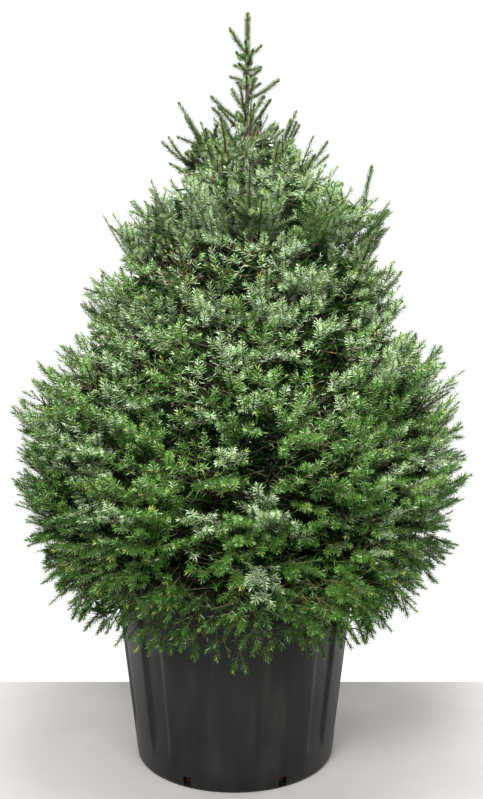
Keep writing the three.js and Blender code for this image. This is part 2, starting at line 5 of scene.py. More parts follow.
import bpy
import numpy as np
from mathutils.kdtree import KDTree
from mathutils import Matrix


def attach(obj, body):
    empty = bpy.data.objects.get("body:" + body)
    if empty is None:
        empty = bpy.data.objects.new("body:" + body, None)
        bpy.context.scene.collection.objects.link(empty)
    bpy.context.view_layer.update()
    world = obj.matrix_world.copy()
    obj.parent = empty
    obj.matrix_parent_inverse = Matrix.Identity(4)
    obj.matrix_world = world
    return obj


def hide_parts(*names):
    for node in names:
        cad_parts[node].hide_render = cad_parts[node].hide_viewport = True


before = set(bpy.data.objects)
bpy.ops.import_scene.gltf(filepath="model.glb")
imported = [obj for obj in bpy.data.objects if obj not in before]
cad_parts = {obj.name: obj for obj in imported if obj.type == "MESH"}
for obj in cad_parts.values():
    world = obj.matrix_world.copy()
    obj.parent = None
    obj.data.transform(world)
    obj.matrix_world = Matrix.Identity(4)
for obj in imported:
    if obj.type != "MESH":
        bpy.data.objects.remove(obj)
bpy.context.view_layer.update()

# Random numbers, by the source's rule.
SEED = 20
MASS_SEED = 101
SILVER_SEED = SEED + 5
LEADER_SEED = SEED + 7
LEADING_SEED = SEED + 11
OUTER_SEED = SEED + 23
SHADE_SEED = SEED + 31
RANDOM_FACTOR = 1664525
RANDOM_STEP = 1013904223
RANDOM_RANGE = 2**32
GOLDEN_ANGLE = 137.508

# The source's rule: soil and trunk.
SOIL_TOP = 0.425
SOIL_MOUND = 0.006
TRUNK_TIP = 1.884
TRUNK_FOOT_RADIUS = 0.026
TRUNK_TIP_RADIUS = 0.0022
TRUNK_TAPER = 0.85
TRUNK_FLARE = 0.014
TRUNK_FLARE_HEIGHT = 0.045
TRUNK_LEAN = 0.032
TRUNK_SWEEP = 0.007
TRUNK_KEEP_OUT = 0.014

# The source's rule: how far the crown reaches from the trunk, as height, left and right.
CROWN = (
    (0.300, 0.340, 0.325),
    (0.380, 0.425, 0.440),
    (0.440, 0.475, 0.505),
    (0.500, 0.485, 0.520),
    (0.600, 0.505, 0.505),
    (0.700, 0.540, 0.560),
    (0.870, 0.560, 0.532),
    (0.950, 0.495, 0.516),
    (1.000, 0.468, 0.488),
    (1.045, 0.390, 0.410),
    (1.090, 0.388, 0.400),
    (1.150, 0.412, 0.402),
    (1.210, 0.376, 0.402),
    (1.255, 0.310, 0.300),
    (1.330, 0.344, 0.352),
    (1.365, 0.318, 0.345),
    (1.395, 0.215, 0.325),
    (1.460, 0.165, 0.240),
    (1.540, 0.188, 0.216),
    (1.580, 0.160, 0.160),
    (1.625, 0.125, 0.122),
    (1.670, 0.058, 0.058),
    (1.730, 0.040, 0.044),
    (1.830, 0.034, 0.040),
    (1.912, 0.008, 0.008),
)

# The source's rule: tiers of limbs. Heights are where a limb leaves the trunk, bends and ends.
TIERS = (
    dict(name="skirt", limbs=9, first=30, heights=(0.52, 0.64, 0.425), centred=0.79, rise=-0.7),
    dict(name="low", limbs=7, first=34, heights=(0.59, 0.64, 0.65), centred=0.78, rise=0.4),
    dict(name="middle", limbs=7, first=13, heights=(0.69, 0.76, 0.85), centred=0.77, rise=0.6),
    dict(name="waist", limbs=6, first=53, heights=(0.84, 0.92, 1.09), centred=0.76, rise=0.7),
    dict(name="shoulder", limbs=4, first=0, heights=(1.03, 1.11, 1.32), centred=0.71, rise=0.8),
    dict(name="neck", limbs=4, first=45, heights=(1.21, 1.30, 1.545), centred=0.69, rise=0.9),
    dict(name="head", limbs=3, first=30, heights=(1.40, 1.49, 1.61), centred=0.65, rise=1.0),
)
LIMB_REACH_SHARE = 0.97
LIMB_BEND_SHARE = 0.54
LIMB_FOOT_RADIUS = 0.008
LIMB_TIP_RADIUS = 0.0025
LIMB_STAGGER = 0.02
LIMB_SWING = 7
SHOOT_SPREAD = 155
SHOOT_LEAST = 0.84
SHOOT_LIMIT = 0.26
RUN_STEP = 0.005

# The source's rule: leading shoots, by bearing, reach and height of the tip, length and lean.
LEADING_SHOOTS = (
    (0, 0.330, 1.495, 0.23, 0.2),
    (180, 0.374, 1.208, 0.17, 0.12),
    (0, 0.452, 1.052, 0.14, 0.1),
    (180, 0.180, 1.665, 0.18, 0.6),
    (180, 0.205, 1.572, 0.17, 0.6),
    (0, 0.130, 1.642, 0.18, 0.4),
    (0, 0.212, 1.560, 0.16, 0.6),
    (180, 0.265, 1.400, 0.17, 0.8),
    (180, 0.352, 1.335, 0.17, 1.1),
    (0, 0.410, 1.215, 0.17, 0.8),
    (0, 0.518, 1.020, 0.15, 0.9),
    (0, 0.374, 1.375, 0.12, 1.2),
    (180, 0.425, 1.130, 0.13, 1.2),
    (180, 0.505, 0.965, 0.14, 1.5),
    (180, 0.570, 0.880, 0.17, 2.0),
    (180, 0.545, 0.680, 0.16, 2.5),
    (180, 0.492, 0.490, 0.15, 4.0),
    (0, 0.540, 0.900, 0.16, 1.6),
    (0, 0.575, 0.705, 0.17, 2.5),
    (0, 0.532, 0.490, 0.15, 4.0),
)
# Finer shoots beside them and round the leader's foot, then those of the leader, listed alike.
FINER_SHOOTS = (
    (172, 0.165, 1.640, 0.14, 0.6),
    (-170, 0.160, 1.618, 0.14, 0.5),
    (180, 0.222, 1.560, 0.15, 0.9),
    (180, 0.200, 1.502, 0.12, 1.6),
    (180, 0.090, 1.651, 0.10, 1.2),
    (180, 0.060, 1.600, 0.09, 0.5),
    (180, 0.100, 1.590, 0.09, 0.8),
    (180, 0.180, 1.574, 0.08, 2.5),
    (0, 0.036, 1.605, 0.08, 0.5),
    (0, 0.066, 1.606, 0.09, 0.9),
    (9, 0.134, 1.622, 0.13, 0.4),
    (-9, 0.116, 1.612, 0.13, 0.3),
    (-16, 0.140, 1.588, 0.12, 0.5),
    (0, 0.214, 1.524, 0.14, 1.0),
    (0, 0.250, 1.450, 0.12, 1.3),
    (0, 0.232, 1.380, 0.10, 0.9),
    (180, 0.180, 1.405, 0.10, 2.0),
    (180, 0.300, 1.400, 0.14, 1.2),
    (0, 0.320, 1.243, 0.10, 2.0),
    (0, 0.360, 1.208, 0.11, 1.2),
)
TOP_SHOOTS = (
    (180, 0.046, 1.868, 0.075, 0.5),
    (0, 0.082, 1.728, 0.095, 1.5),
    (180, 0.094, 1.682, 0.110, 1.1),
)
TOP_SAG = -0.12

# How leading shoots grow, also those towards the front and the back, and the whorls of short shoots on them.
LEADING_SILVER = 0.42
LEADING_END = 0.985
LEADING_SLACK = 0.02
LEADING_NEAR = 0.3
LEADING_BEND = 0.1
LEADING_BETWEEN = 22
BETWEEN_SWING = 110
BETWEEN_HEIGHTS = (0.95, 1.58)
BETWEEN_DROP = 0.03
BETWEEN_BEHIND = 0.015
BETWEEN_LENGTHS = (0.13, 0.17)
BETWEEN_LEANS = (0.5, 1.0)
WHORL_SHOOTS = 6
WHORL_FROM = 0.125
WHORL_STAGGER = 0.4
WHORL_BEHIND = 0.62
WHORL_SPREADS = (40, 72)
WHORL_REACHES = (0.3, 0.42)
WHORL_ASIDE = (0.3, -0.8, 0.5)

# Leader: its spike, the cluster of short shoots under that, then longer and upright shoots at its foot.
LEADER_TOP = 1.912
LEADER_BOTTOM = 1.64
LEADER_CENTRE = 0.7
SPIKE_FOOT = 1.735
SPIKE_BEND = 1.82
LEADER_SHOOTS = 16
LEADER_SPRAY = 0.046
LEADER_LEAST = 0.7
LEADER_CLUSTER = (1.694, 1.808)
LEADER_SPREADS = (78, 52)
LEADER_SWING = 30
LEADER_SAG = (0, 0, 0.003)
FOOT_SHOOTS = 16
FOOT_HEIGHTS = (1.45, 1.66)
FOOT_SPREADS = (60, 32)
FOOT_SWING = 10
FOOT_TURN = 40
FOOT_LENGTHS = (0.15, 0.07)
FOOT_SAG = (0, 0, 0.008)
UPRIGHT_BEARINGS = (-120, -85, -50, 20, 90, 160)
UPRIGHT_HEIGHTS = (1.42, 1.48, 1.65)
UPRIGHT_DROP = 0.08
UPRIGHT_OUT = (0.014, 0.016)
LEADER_SILVER = dict(spike=0.2, cluster=0.35, foot=0.4, upright=0.3, top=0.2)

# Pot.
POT_HEIGHT = 0.46
POT_BASE_RADIUS = 0.244
POT_SLOPE = 0.137
POT_WALL = 0.004
POT_FLOOR = 0.006
POT_FOOT_BEVEL = 0.007
POT_KEEP_OUT = 0.018
POT_SEGMENTS = 360
POT_EDGE_ANGLE = 40
LIP_DEPTH = 0.026
LIP_OUT = 0.009
LIP_ROUND = 0.004
LIP_BEVEL = (0.002, 0.001)
FLUTES = 12
FLUTE_DEPTH = 0.007
FLUTE_HALF_ANGLE = 7.5
FLUTE_STEEPNESS = 2.6
FLUTE_TURN = 18
FLUTE_START = 0.045
FLUTE_FADE = 0.055
FLUTE_END = 0.405
FLUTE_END_FADE = 0.012
FLUTE_STEPS = (8, 12)
FLUTED_FROM = 0.9 * POT_BASE_RADIUS
DRAIN_SLOTS = 7
DRAIN_TURN = 26
DRAIN_WIDTH = 0.020
DRAIN_BOTTOM = 0.004
DRAIN_TOP = 0.026
DRAIN_INSET = 0.002

# Soil: clearances to the pot, rings of its top and, for the crumbs, height and scale of broad and fine waves.
SOIL_GAP = 0.0006
SOIL_LIFT = 0.0004
SOIL_FOOT_SHARE = 0.98
SOIL_INNERMOST = 0.02
SOIL_RINGS = 26
SOIL_SEGMENTS = 120
SOIL_BROAD = (0.0022, 130)
SOIL_FINE = (0.0016, 420)
SOIL_SUNK = 0.004
SOIL_SEED = 5

# Bark meshes: rings, sides and height of the relief as a share of the radius.
TRUNK_LIFT = 0.0003
TRUNK_RINGS = 191
TRUNK_SIDES = 28
TRUNK_RELIEF = 0.09
TRUNK_SEED = 3
LIMB_PAST = 0.04
LIMB_RINGS = 17
LIMB_SIDES = 8
LIMB_RELIEF = 0.1
LIMB_SEED = 40
BARK_STRETCH = (1, 1, 0.35)
BARK_BROAD_SCALE = 220
BARK_FINE_SCALE = 700
BARK_FINE_SHARE = 0.6
STEEP = 0.8

# The crown's face: waves between its plumes, with a deeper face at the top and the waist.
WAVE_OCTAVES = 4
WAVE_WAYS = 5
WAVE_FALL = 1.6
CROWN_DIP = 0.075
CROWN_PROUD = 0.034
DIP_SCALE = 26
DIP_MIDDLE = 0.4
DIP_SWING = 0.8
TOP_DIP = 0.075
TOP_START = 1.42
TOP_RUN = 0.1
WAIST_DIP = 0.034
WAIST_HEIGHT = 1.215
WAIST_RUN = 0.06

# Finer growth: more twigs than the source's, inner twigs on the limbs and side shoots along a twig.
SIZES = (0.8, 1.2)
TWIGS_OF_MASS = 24
TWIGS_OF_SKIRT = 46
TWIG_LEAST = 0.05
TWIG_FEET = (0.08, -0.3)
TWIG_RISE = 0.5
TWIG_RISE_RUN = 0.1
TWIG_RISE_LEAST = -0.6
TWIG_OUT = 0.6
TWIG_TURN = 0.65
TWIG_BARE = (0.15, 0.7)
END_TWIG = (-0.05, 0.99)
MASS_OVERLAP = 0.05
INNER_TWIGS = 18
INNER_FROM = 0.15
INNER_FORWARD = 0.6
INNER_LENGTHS = (0.10, 0.17)
INNER_DEPTH = 0.07
PLUME_LENGTH = 0.16
PLUME_COVER = 1.1
PLUME_SHARE = 0.8
SIDE_SPACING = 0.034
SIDE_STAGGER = 0.3
SIDE_END = 0.022
SIDE_ANGLE = 46
SIDE_TURNS = (-9, 9)
SIDE_TILTS = (-28, 28)
SIDE_FORWARD = 0.12
SIDE_BEND = 0.55
SIDE_LONGEST = 0.072
SIDE_SHORTEST = 0.034
SIDE_SHRINKS = (1.0, 0.75, 0.5)
SIDE_LEAST = 0.02
SIDE_SLACK = 0.004
SIDE_MORE_SLACK = 0.008
DEEPEST_SIDE = 0.11
# Shoots whose tips lie further than this inside the crown's face are coloured dark as painted shade.
PAINTED_SHADE_FROM = 0.08

# Outer plumes over the crown's face: how many, how far apart and how much they rise by height, how long,
# how far below the furthest tips they end, and how far they may be from a twig.
OUTER_SHOOTS = 4200
OUTER_TOP = 1.57
OUTER_STEPS = 300
OUTER_APART = ((0.3, 0.040), (0.8, 0.040), (1.1, 0.042))
OUTER_RISE = ((0.30, -1.0), (0.40, -0.5), (0.5, 0.1), (0.7, 0.7), (1.0, 1.0), (1.3, 1.2), (1.6, 1.4))
OUTER_RISE_SWING = 0.6
OUTER_HEIGHT_SWING = 0.02
OUTER_TURN_SWING = 50
OUTER_LENGTH = 0.125
OUTER_DEPTH = 0.03
OUTER_BEND = 0.25
OUTER_FOLLOW = 0.4
OUTER_OWN_COLOUR = 0.4
OUTER_FURTHEST = 0.14
ROOT_SHARES = np.linspace(0.4, 0.95, 7)

# Layers of shaded twigs behind the plumes, coloured dark as painted shade: how many, and from which depth to
# which.
SHADE_LAYERS = ((2000, 0.08, 0.15), (750, 0.19, 0.33))
SHADE_LENGTH = 0.12
SHADE_TURN_SWING = 40
SHADE_RISE_SWING = 1.2
SHADE_BEND = 0.2

# Stems: radius at the foot and share of the length without needles.
TWIG_RADIUS = 0.0022
TIP_TAPER = 0.45
STEMS = dict(
    side=(0.0013, 0.06),
    inner=(0.002, 0.12),
    shade=(0.0018, 0.1),
    plume=(0.0015, 0.12),
    whorl=(0.0014, 0.08),
    leading=(0.0026, 0.35),
    between=(0.0030, 0.6),
    spike=(0.0030, 0.0),
    cluster=(0.0016, 0.05),
    foot=(0.0018, 0.05),
    upright=(0.0016, 0.0),
    top=(0.0018, 0.05),
)

# Buds: sizes on leading shoots, twigs and plumes, then how far they reach behind the tip, aside and ahead.
BUD_SIZES = (0.0085, 0.0045, 0.003)
BUD_SHAPE = (0.8, 0.55, 0.9)
BUD_SHARE = 0.3

# Needles: number to the metre, length, width and lean from the shoot.
YOUNG_NEEDLES = (1400, 0.0128, 0.0022, 66)
UPPER_NEEDLES = (1650, 0.0125, 0.0020, 64)
HANGING_NEEDLES = (1750, 0.0130, 0.0023, 62)
SHADED_NEEDLES = (500, 0.017, 0.0034, 66)
OLD_PAINTED_SHADE_NEEDLES = (155, 0.031, 0.0074, 66)
LEADING_NEEDLES = (3000, 0.0122, 0.0027, 58)
UPPER_FROM = 1.2
HANGING_TOP = 0.44
# Large old needles, coloured dark as painted shade, are kept only further than this inside the crown.
OLD_PAINTED_SHADE_DEPTH = 0.07
OLD_ON_TWIGS = (0.08, 0.4)
OLD_ON_INNER = (0.12, 1.0)
NEEDLES_LEAST = 4
NEEDLE_TURNS = (-0.25, 0.25)
NEEDLE_FLATNESS = 0.75
NEEDLE_CLOSING = 0.014
NEEDLE_CLOSED = 0.45
NEEDLE_CLOSING_POWER = 0.6
NEEDLE_LEANS = (-6, 6)
NEEDLE_LIFT = 0.05
NEEDLE_TWISTS = (-0.25, 0.25)
NEEDLE_LENGTHS = (0.88, 1.08)
NEEDLE_SHORTEST = 0.75
NEEDLE_WIDTHS = (0.85, 1.1)
NEEDLE_FOOT = 0.40
NEEDLE_POINT = 0.22
THIN_FROM = 0.035
THIN_RUN = 0.05
THIN_LEAST = 0.04
PIECE_TRIANGLES = 190000

# Shares of the needles' colours, low and high on the plant where there are two.
HIGH_FROM = 0.5
HIGH_RUN = 0.6
FRESH_SHARES = (0.16, 0.3)
# Darker moss tone on low sprays: painted shade low on the plant.
MOSS_SHADE_SHARES = (0.5, 0.0)
# More silver high up: partly the needles' own silver, partly painted light from above.
SILVER_CHANCES = (0.1, 0.88)
SILVER_SHARES = (0.1, 0.42)
SILVER_FULL = 0.8
SILVER_PATCH = 0.18
SILVER_SCALE = 18
# Painted shade: fewer silver sprays at the plant's left and right sides, which are darker.
PAINTED_SIDE_SHADE = 0.35
SILVER_FROM = 0.4
SILVER_BLUR = 0.5
BRIGHT_FROM = 0.5
BRIGHT_SHARES = (0.65, 0.3)
OLIVE_SHARE = 0.6
DIM_SHARE = 0.25
TIPPED_FROM = 0.93
TIPPED_SHARE = 0.6
TIPPED_SHOOTS = 0.14

# A shoot's row: three points, then its tone, share of silver needles, radius, bare share and order.
# The order tells leading shoots, twigs, side shoots, shaded twigs and plumes apart.
START = slice(0, 3)
BEND = slice(3, 6)
TIP = slice(6, 9)
TIP_HEIGHT = 8
TONE, SILVER, RADIUS, BARE, ORDER = range(9, 14)
LEADING, TWIG, SIDE, INNER, PLUME = range(5)
# The first tone is painted shade: a dark green for shoots far inside the crown.
TONES = ("deep", "green", "fresh", "moss")
PAINTED_SHADE_TONE, GREEN, FRESH, MOSS = range(len(TONES))

# Stage: floor, surround and lights by name, place, target, size and power.
FLOOR_CORNERS = ((-1.7, -1.75), (1.7, -1.75), (1.7, 0.46), (-1.7, 0.46))
FLOOR_UNDER = 0.0005
SURROUND_STRENGTH = 0.88
LIGHTS = (
    ("key", (-1.0, -3.1, 2.9), (0, 0, 1.5), 1.2, 262),
    ("fill", (1.3, -3.1, 2.6), (0, 0, 1.5), 1.6, 132),
    ("top", (0.0, -0.8, 3.5), (0, 0, 1.0), 1.2, 118),
    ("low_left", (-1.6, 0.4, 0.45), (0, 0, 0.2), 0.5, 16),
    ("low_right", (1.6, 0.4, 0.45), (0, 0, 0.2), 0.5, 18),
)

# Camera, worked out from the marks on the height board behind the plant.
IMAGE_HEIGHT = 799
FOCAL_PIXELS = 715
SENSOR = 36.0
CAMERA_PLACE = (0.0158, -1.860, 0.802)
CAMERA_PITCH = 2.47

UP = np.array([0, 0, 1.0])
rng = np.random.default_rng(SEED)


# Random rule.
def seeded(seed):
    """Numbers from 0 to 1 by the source's linear congruential rule."""
    state = seed % RANDOM_RANGE

    def draw():
        nonlocal state
        state = (state * RANDOM_FACTOR + RANDOM_STEP) % RANDOM_RANGE
        return state / RANDOM_RANGE

    draw()
    draw()
    return draw


def swing(width, draw):
    """A drawn number within a width round 0."""
    return width * (draw() - 0.5)


def lerp(a, b, t):
    return a + (b - a) * t


def unit(v):
    """Vectors of length 1 along the last axis."""
    return v / np.maximum(np.linalg.norm(v, axis=-1, keepdims=True), 1e-9)


# Trunk and crown.
def trunk_share(z):
    return (np.asarray(z, float) - SOIL_TOP) / (TRUNK_TIP - SOIL_TOP)


def trunk_middle(z):
    share = trunk_share(z)
    x = TRUNK_LEAN * share + TRUNK_SWEEP * np.sin(np.pi * share)
    y = TRUNK_SWEEP * np.sin(2 * np.pi * share)
    return np.stack([x, y, np.asarray(z, float) + 0 * share], axis=-1)


def trunk_radius(z):
    flare = TRUNK_FLARE * np.exp(-(np.asarray(z, float) - SOIL_TOP) / TRUNK_FLARE_HEIGHT)
    return lerp(TRUNK_FOOT_RADIUS, TRUNK_TIP_RADIUS, np.clip(trunk_share(z), 0, 1) ** TRUNK_TAPER) + flare


def crown_reach(rightward, z):
    """Reach of the outermost tips, by the cosine of the bearing and the height."""
    heights, left, right = np.array(CROWN).T
    to_left = np.interp(z, heights, left, left=0, right=0)
    to_right = np.interp(z, heights, right, left=0, right=0)
    return lerp(to_left, to_right, (1 + rightward) / 2)


def reach_towards(bearing, z):
    return float(crown_reach(math.cos(math.radians(bearing)), z))


def pot_radius(z):
    return POT_BASE_RADIUS + POT_SLOPE * z


def outward(bearing):
    return np.array([math.cos(math.radians(bearing)), math.sin(math.radians(bearing)), 0.0])


def rising(bearing, spread):
    """A direction by its bearing and its spread from straight up."""
    return outward(bearing) * math.sin(math.radians(spread)) + UP * math.cos(math.radians(spread))


def from_trunk(bearing, reach, z):
    return trunk_middle(z) + reach * outward(bearing)


def in_open(points):
    """Whether points are clear of the trunk and the pot."""
    over_pot = np.hypot(points[..., 0], points[..., 1]) < pot_radius(POT_HEIGHT) + LIP_OUT + POT_KEEP_OUT
    low = points[..., 2] < POT_HEIGHT + POT_KEEP_OUT
    away = points - trunk_middle(points[..., 2])
    clear = np.hypot(away[..., 0], away[..., 1]) > trunk_radius(points[..., 2]) + TRUNK_KEEP_OUT
    return clear & ~(over_pot & low)


def ripples(points, scale, seed):
    """A sum of waves in a few directions, about -1 to 1."""
    waves = np.random.default_rng(seed)
    total = np.zeros(len(points))
    for octave in range(WAVE_OCTAVES):
        ways = unit(waves.normal(size=(WAVE_WAYS, 3)))
        phase = waves.uniform(0, 2 * math.pi, WAVE_WAYS)
        heights = np.sin(points @ ways.T * scale * 2**octave + phase)
        total += heights.sum(axis=1) / (WAVE_WAYS * WAVE_FALL**octave)
    return total


def crumple(points, broad, fine, seed):
    """Broad waves and fine ridges, each by its height and scale."""
    waves = broad[0] * ripples(points, broad[1], seed)
    return waves + fine[0] * np.abs(ripples(points, fine[1], seed + 1))


def dip(points):
    """How far the crown's face lies behind its furthest tips, between the plumes of its limbs."""
    waves = ripples(points.reshape(-1, 3), DIP_SCALE, SEED).reshape(points.shape[:-1])
    top = TOP_DIP * np.clip((points[..., 2] - TOP_START) / TOP_RUN, 0, 1)
    waist = WAIST_DIP * np.exp(-(((points[..., 2] - WAIST_HEIGHT) / WAIST_RUN) ** 2))
    return CROWN_DIP * np.clip(DIP_MIDDLE + DIP_SWING * waves, 0, 1) - CROWN_PROUD + top + waist


def depth_in_crown(points):
    """How far points lie inside the crown's face."""
    away = points - trunk_middle(points[..., 2])
    distance = np.maximum(np.hypot(away[..., 0], away[..., 1]), 1e-6)
    return crown_reach(away[..., 0] / distance, points[..., 2]) - dip(points) - distance


def in_crown(points, slack=0.0):
    return (depth_in_crown(points) >= -slack) & in_open(points)


# Curves from a start to an end, drawn towards a bend.
def on_curve(start, bend, end, t):
    return (1 - t) ** 2 * start + 2 * t * (1 - t) * bend + t**2 * end


def along_curve(start, bend, end, t):
    return unit(2 * (1 - t) * (bend - start) + 2 * t * (end - bend))


class Line:
    """One such curve."""

    def __init__(self, *points):
        self.points = [np.asarray(point, float) for point in points]

    def point(self, t):
        return on_curve(*self.points, np.asarray(t, float)[..., None])

    def tangent(self, t):
        return along_curve(*self.points, np.asarray(t, float)[..., None])


def curve_points(table, t):
    """A point on the curve of each shoot in a table."""
    return on_curve(table[:, START], table[:, BEND], table[:, TIP], t[:, None])


def curve_tangents(table, t):
    return along_curve(table[:, START], table[:, BEND], table[:, TIP], t[:, None])


def curve_lengths(table):
    chord = np.linalg.norm(table[:, TIP] - table[:, START], axis=1)
    first_leg = np.linalg.norm(table[:, BEND] - table[:, START], axis=1)
    second_leg = np.linalg.norm(table[:, TIP] - table[:, BEND], axis=1)
    return (2 * chord + (first_leg + second_leg)) / 3


def upper_side(along, nudge=1e-5):
    """The direction of a shoot's upper side, upwards and square to it."""
    return unit(UP - along * along[..., 2:3] + nudge)


# Limbs.
def lay_out_limbs():
    """The limbs of all tiers, with their lines and their masses' centres, as the source has them."""
    limbs = []
    draw = seeded(SEED)
    for tier in TIERS:
        for k in range(tier["limbs"]):
            turn = LIMB_SWING * (2 * draw() - 1)
            bearing = tier["first"] + 360 / tier["limbs"] * k + turn
            stagger = LIMB_STAGGER * (k % 3 - 1)
            leaves, bends, ends = (h + stagger for h in tier["heights"])
            reach = reach_towards(bearing, ends) * LIMB_REACH_SHARE
            bend = from_trunk(bearing, reach * LIMB_BEND_SHARE, bends)
            line = Line(trunk_middle(leaves), bend, from_trunk(bearing, reach, ends))
            limbs.append(dict(tier=tier, line=line, centre=line.point(tier["centred"])))
    return limbs


LIMBS = lay_out_limbs()
LEADER_MIDDLE = trunk_middle(lerp(LEADER_BOTTOM, LEADER_TOP, LEADER_CENTRE))
CENTRES = np.array([limb["centre"] for limb in LIMBS] + [LEADER_MIDDLE])


def in_cell(points, index):
    """Whether points are nearest to one mass's centre, or only a little past the middle."""
    apart = np.linalg.norm(CENTRES - CENTRES[index], axis=1)
    squares = ((points[:, None, :] - CENTRES[None]) ** 2).sum(axis=2)
    nearer = squares[:, index : index + 1] - squares < 2 * MASS_OVERLAP * apart[None]
    nearer[:, index] = True
    return nearer.all(axis=1)


def run_in_space(start, ways, index, limit):
    """How far rays run before they leave a mass's space."""
    runs = np.zeros(len(ways))
    going = np.ones(len(ways), bool)
    while going.any() and runs.max() + RUN_STEP <= limit + 1e-9:
        points = start + ways * (runs + RUN_STEP)[:, None]
        going &= in_crown(points) & in_cell(points, index)
        runs[going] += RUN_STEP
    return runs


def from_ahead(line, spread, turn):
    """Directions by their spread from a limb's end and their turn round it."""
    ahead = line.tangent(1.0)
    side = unit(np.cross(UP, ahead))
    above = np.cross(ahead, side)
    spread = spread[:, None]
    turn = turn[:, None]
    return np.cos(spread) * ahead + np.sin(spread) * (np.cos(turn) * side + np.sin(turn) * above)


# Shoots: rows of a table, each a curve with its colours and its stem.
class Shoots:
    def __init__(self):
        self.rows = []

    def add(self, start, bend, tip, tone, silver, radius, bare, order):
        self.rows.append((*start, *bend, *tip, tone, silver, radius, bare, order))

    def table(self):
        return np.array(self.rows)


def spray_tone(tip, draw):
    """The tone of a spray's upper needles and its share of silver ones, by its place and the draw. Darker
    moss low on the plant and less silver at the left and right sides are painted shade. More silver high up
    is partly the needles' own silver and partly painted light from above.
    """
    high = min(1.0, max(0.0, (tip[2] - HIGH_FROM) / HIGH_RUN))
    tone = FRESH if draw() < lerp(*FRESH_SHARES, high) else GREEN
    # Painted shade: low sprays more often take the darker moss tone.
    if draw() < lerp(*MOSS_SHADE_SHARES, high):
        tone = MOSS
    patch = SILVER_PATCH * float(ripples(tip[None], SILVER_SCALE, SILVER_SEED)[0])
    # Painted shade: fewer silver sprays at the left and right sides.
    sideways = tip[0] ** 2 / (tip[0] ** 2 + tip[1] ** 2)
    chance = lerp(*SILVER_CHANCES, high) + patch - PAINTED_SIDE_SHADE * sideways
    silver = SILVER_FULL if draw() < chance else lerp(*SILVER_SHARES, high)
    return tone, silver


def grow_side_shoots(shoots, curve, length, tone, silver, draw, clear=SIDE_END, slack=SIDE_SLACK):
    """Pairs of side shoots on a twig's last stretch, about in its plane, shorter towards its tip."""
    plume = min(clear + PLUME_LENGTH, PLUME_SHARE * length)
    count = max(2, round((plume - clear) / SIDE_SPACING))
    for j in range(count):
        for side in (-1, 1):
            behind = lerp(plume, clear, (j + 0.5 * (side > 0) + SIDE_STAGGER * draw()) / count)
            place = curve.point(1 - behind / length)
            along = curve.tangent(1 - behind / length)
            upper = upper_side(along, nudge=1e-6)
            across = np.cross(along, upper)
            tilt = math.radians(lerp(*SIDE_TILTS, draw()))
            angle = math.radians(SIDE_ANGLE + lerp(*SIDE_TURNS, draw()))
            beside = side * math.cos(tilt) * across + math.sin(tilt) * upper
            way = math.cos(angle) * along + math.sin(angle) * beside
            size = lerp(SIDE_SHORTEST, SIDE_LONGEST, (behind - clear) / PLUME_LENGTH) * lerp(*SIZES, draw())
            for shrink in SIDE_SHRINKS:
                tip = place + (way + SIDE_FORWARD * along) * size * shrink
                if in_crown(tip, slack):
                    break
            size *= shrink
            depth = float(depth_in_crown(tip))
            if size < SIDE_LEAST or depth > DEEPEST_SIDE or not in_crown(tip, slack + SIDE_MORE_SLACK):
                continue
            bend = place + way * size * SIDE_BEND
            # Side shoots far inside the crown take the dark painted-shade tone.
            shoots.add(place, bend, tip, PAINTED_SHADE_TONE if depth > PAINTED_SHADE_FROM else tone, silver, *STEMS["side"], SIDE)


def grow_mass(shoots, index, limb):
    """Twigs from the stem of a mass to the tips that the source's rule gives it."""
    draw = seeded(SEED + MASS_SEED * (index + 1))
    line = limb["line"]
    tier = limb["tier"]
    centred = tier["centred"]
    twigs = TWIGS_OF_SKIRT if tier["name"] == "skirt" else TWIGS_OF_MASS
    widest = math.radians(SHOOT_SPREAD)
    spreads = np.arccos(lerp(1, math.cos(widest), (np.arange(twigs) + 0.5) / twigs))
    ways = from_ahead(line, spreads, np.radians(GOLDEN_ANGLE * np.arange(twigs)))
    runs = run_in_space(limb["centre"], ways, index, SHOOT_LIMIT)
    for k in range(twigs):
        share = lerp(SHOOT_LEAST, 1, draw())
        if runs[k] < TWIG_LEAST:
            continue
        tip = limb["centre"] + ways[k] * runs[k] * share
        start = line.point(lerp(centred + TWIG_FEET[0], centred + TWIG_FEET[1], spreads[k] / widest))
        above = np.clip((tip[2] - limb["centre"][2]) / TWIG_RISE_RUN, TWIG_RISE_LEAST, 1)
        grow_twig(shoots, start, tip, tier["rise"] + TWIG_RISE * above, draw)
    grow_twig(shoots, line.point(centred + END_TWIG[0]), line.point(END_TWIG[1]), tier["rise"], draw)
    grow_inner_twigs(shoots, limb, draw)


def grow_inner_twigs(shoots, limb, draw):
    """Short twigs of old needles along the shaded part of a limb, turned to all sides, coloured dark as
    painted shade.
    """
    line = limb["line"]
    for k in range(INNER_TWIGS):
        share = lerp(INNER_FROM, limb["tier"]["centred"], (k + draw()) / INNER_TWIGS)
        start = line.point(share)
        along = line.tangent(share)
        across = unit(np.cross(along, UP))
        turn = math.radians(GOLDEN_ANGLE * k)
        beside = math.cos(turn) * across + math.sin(turn) * np.cross(across, along)
        tip = start + (INNER_FORWARD * along + beside) * lerp(*INNER_LENGTHS, draw())
        if in_crown(tip, -INNER_DEPTH):
            shoots.add(start, lerp(start, tip, 0.5), tip, PAINTED_SHADE_TONE, 0.0, *STEMS["inner"], INNER)


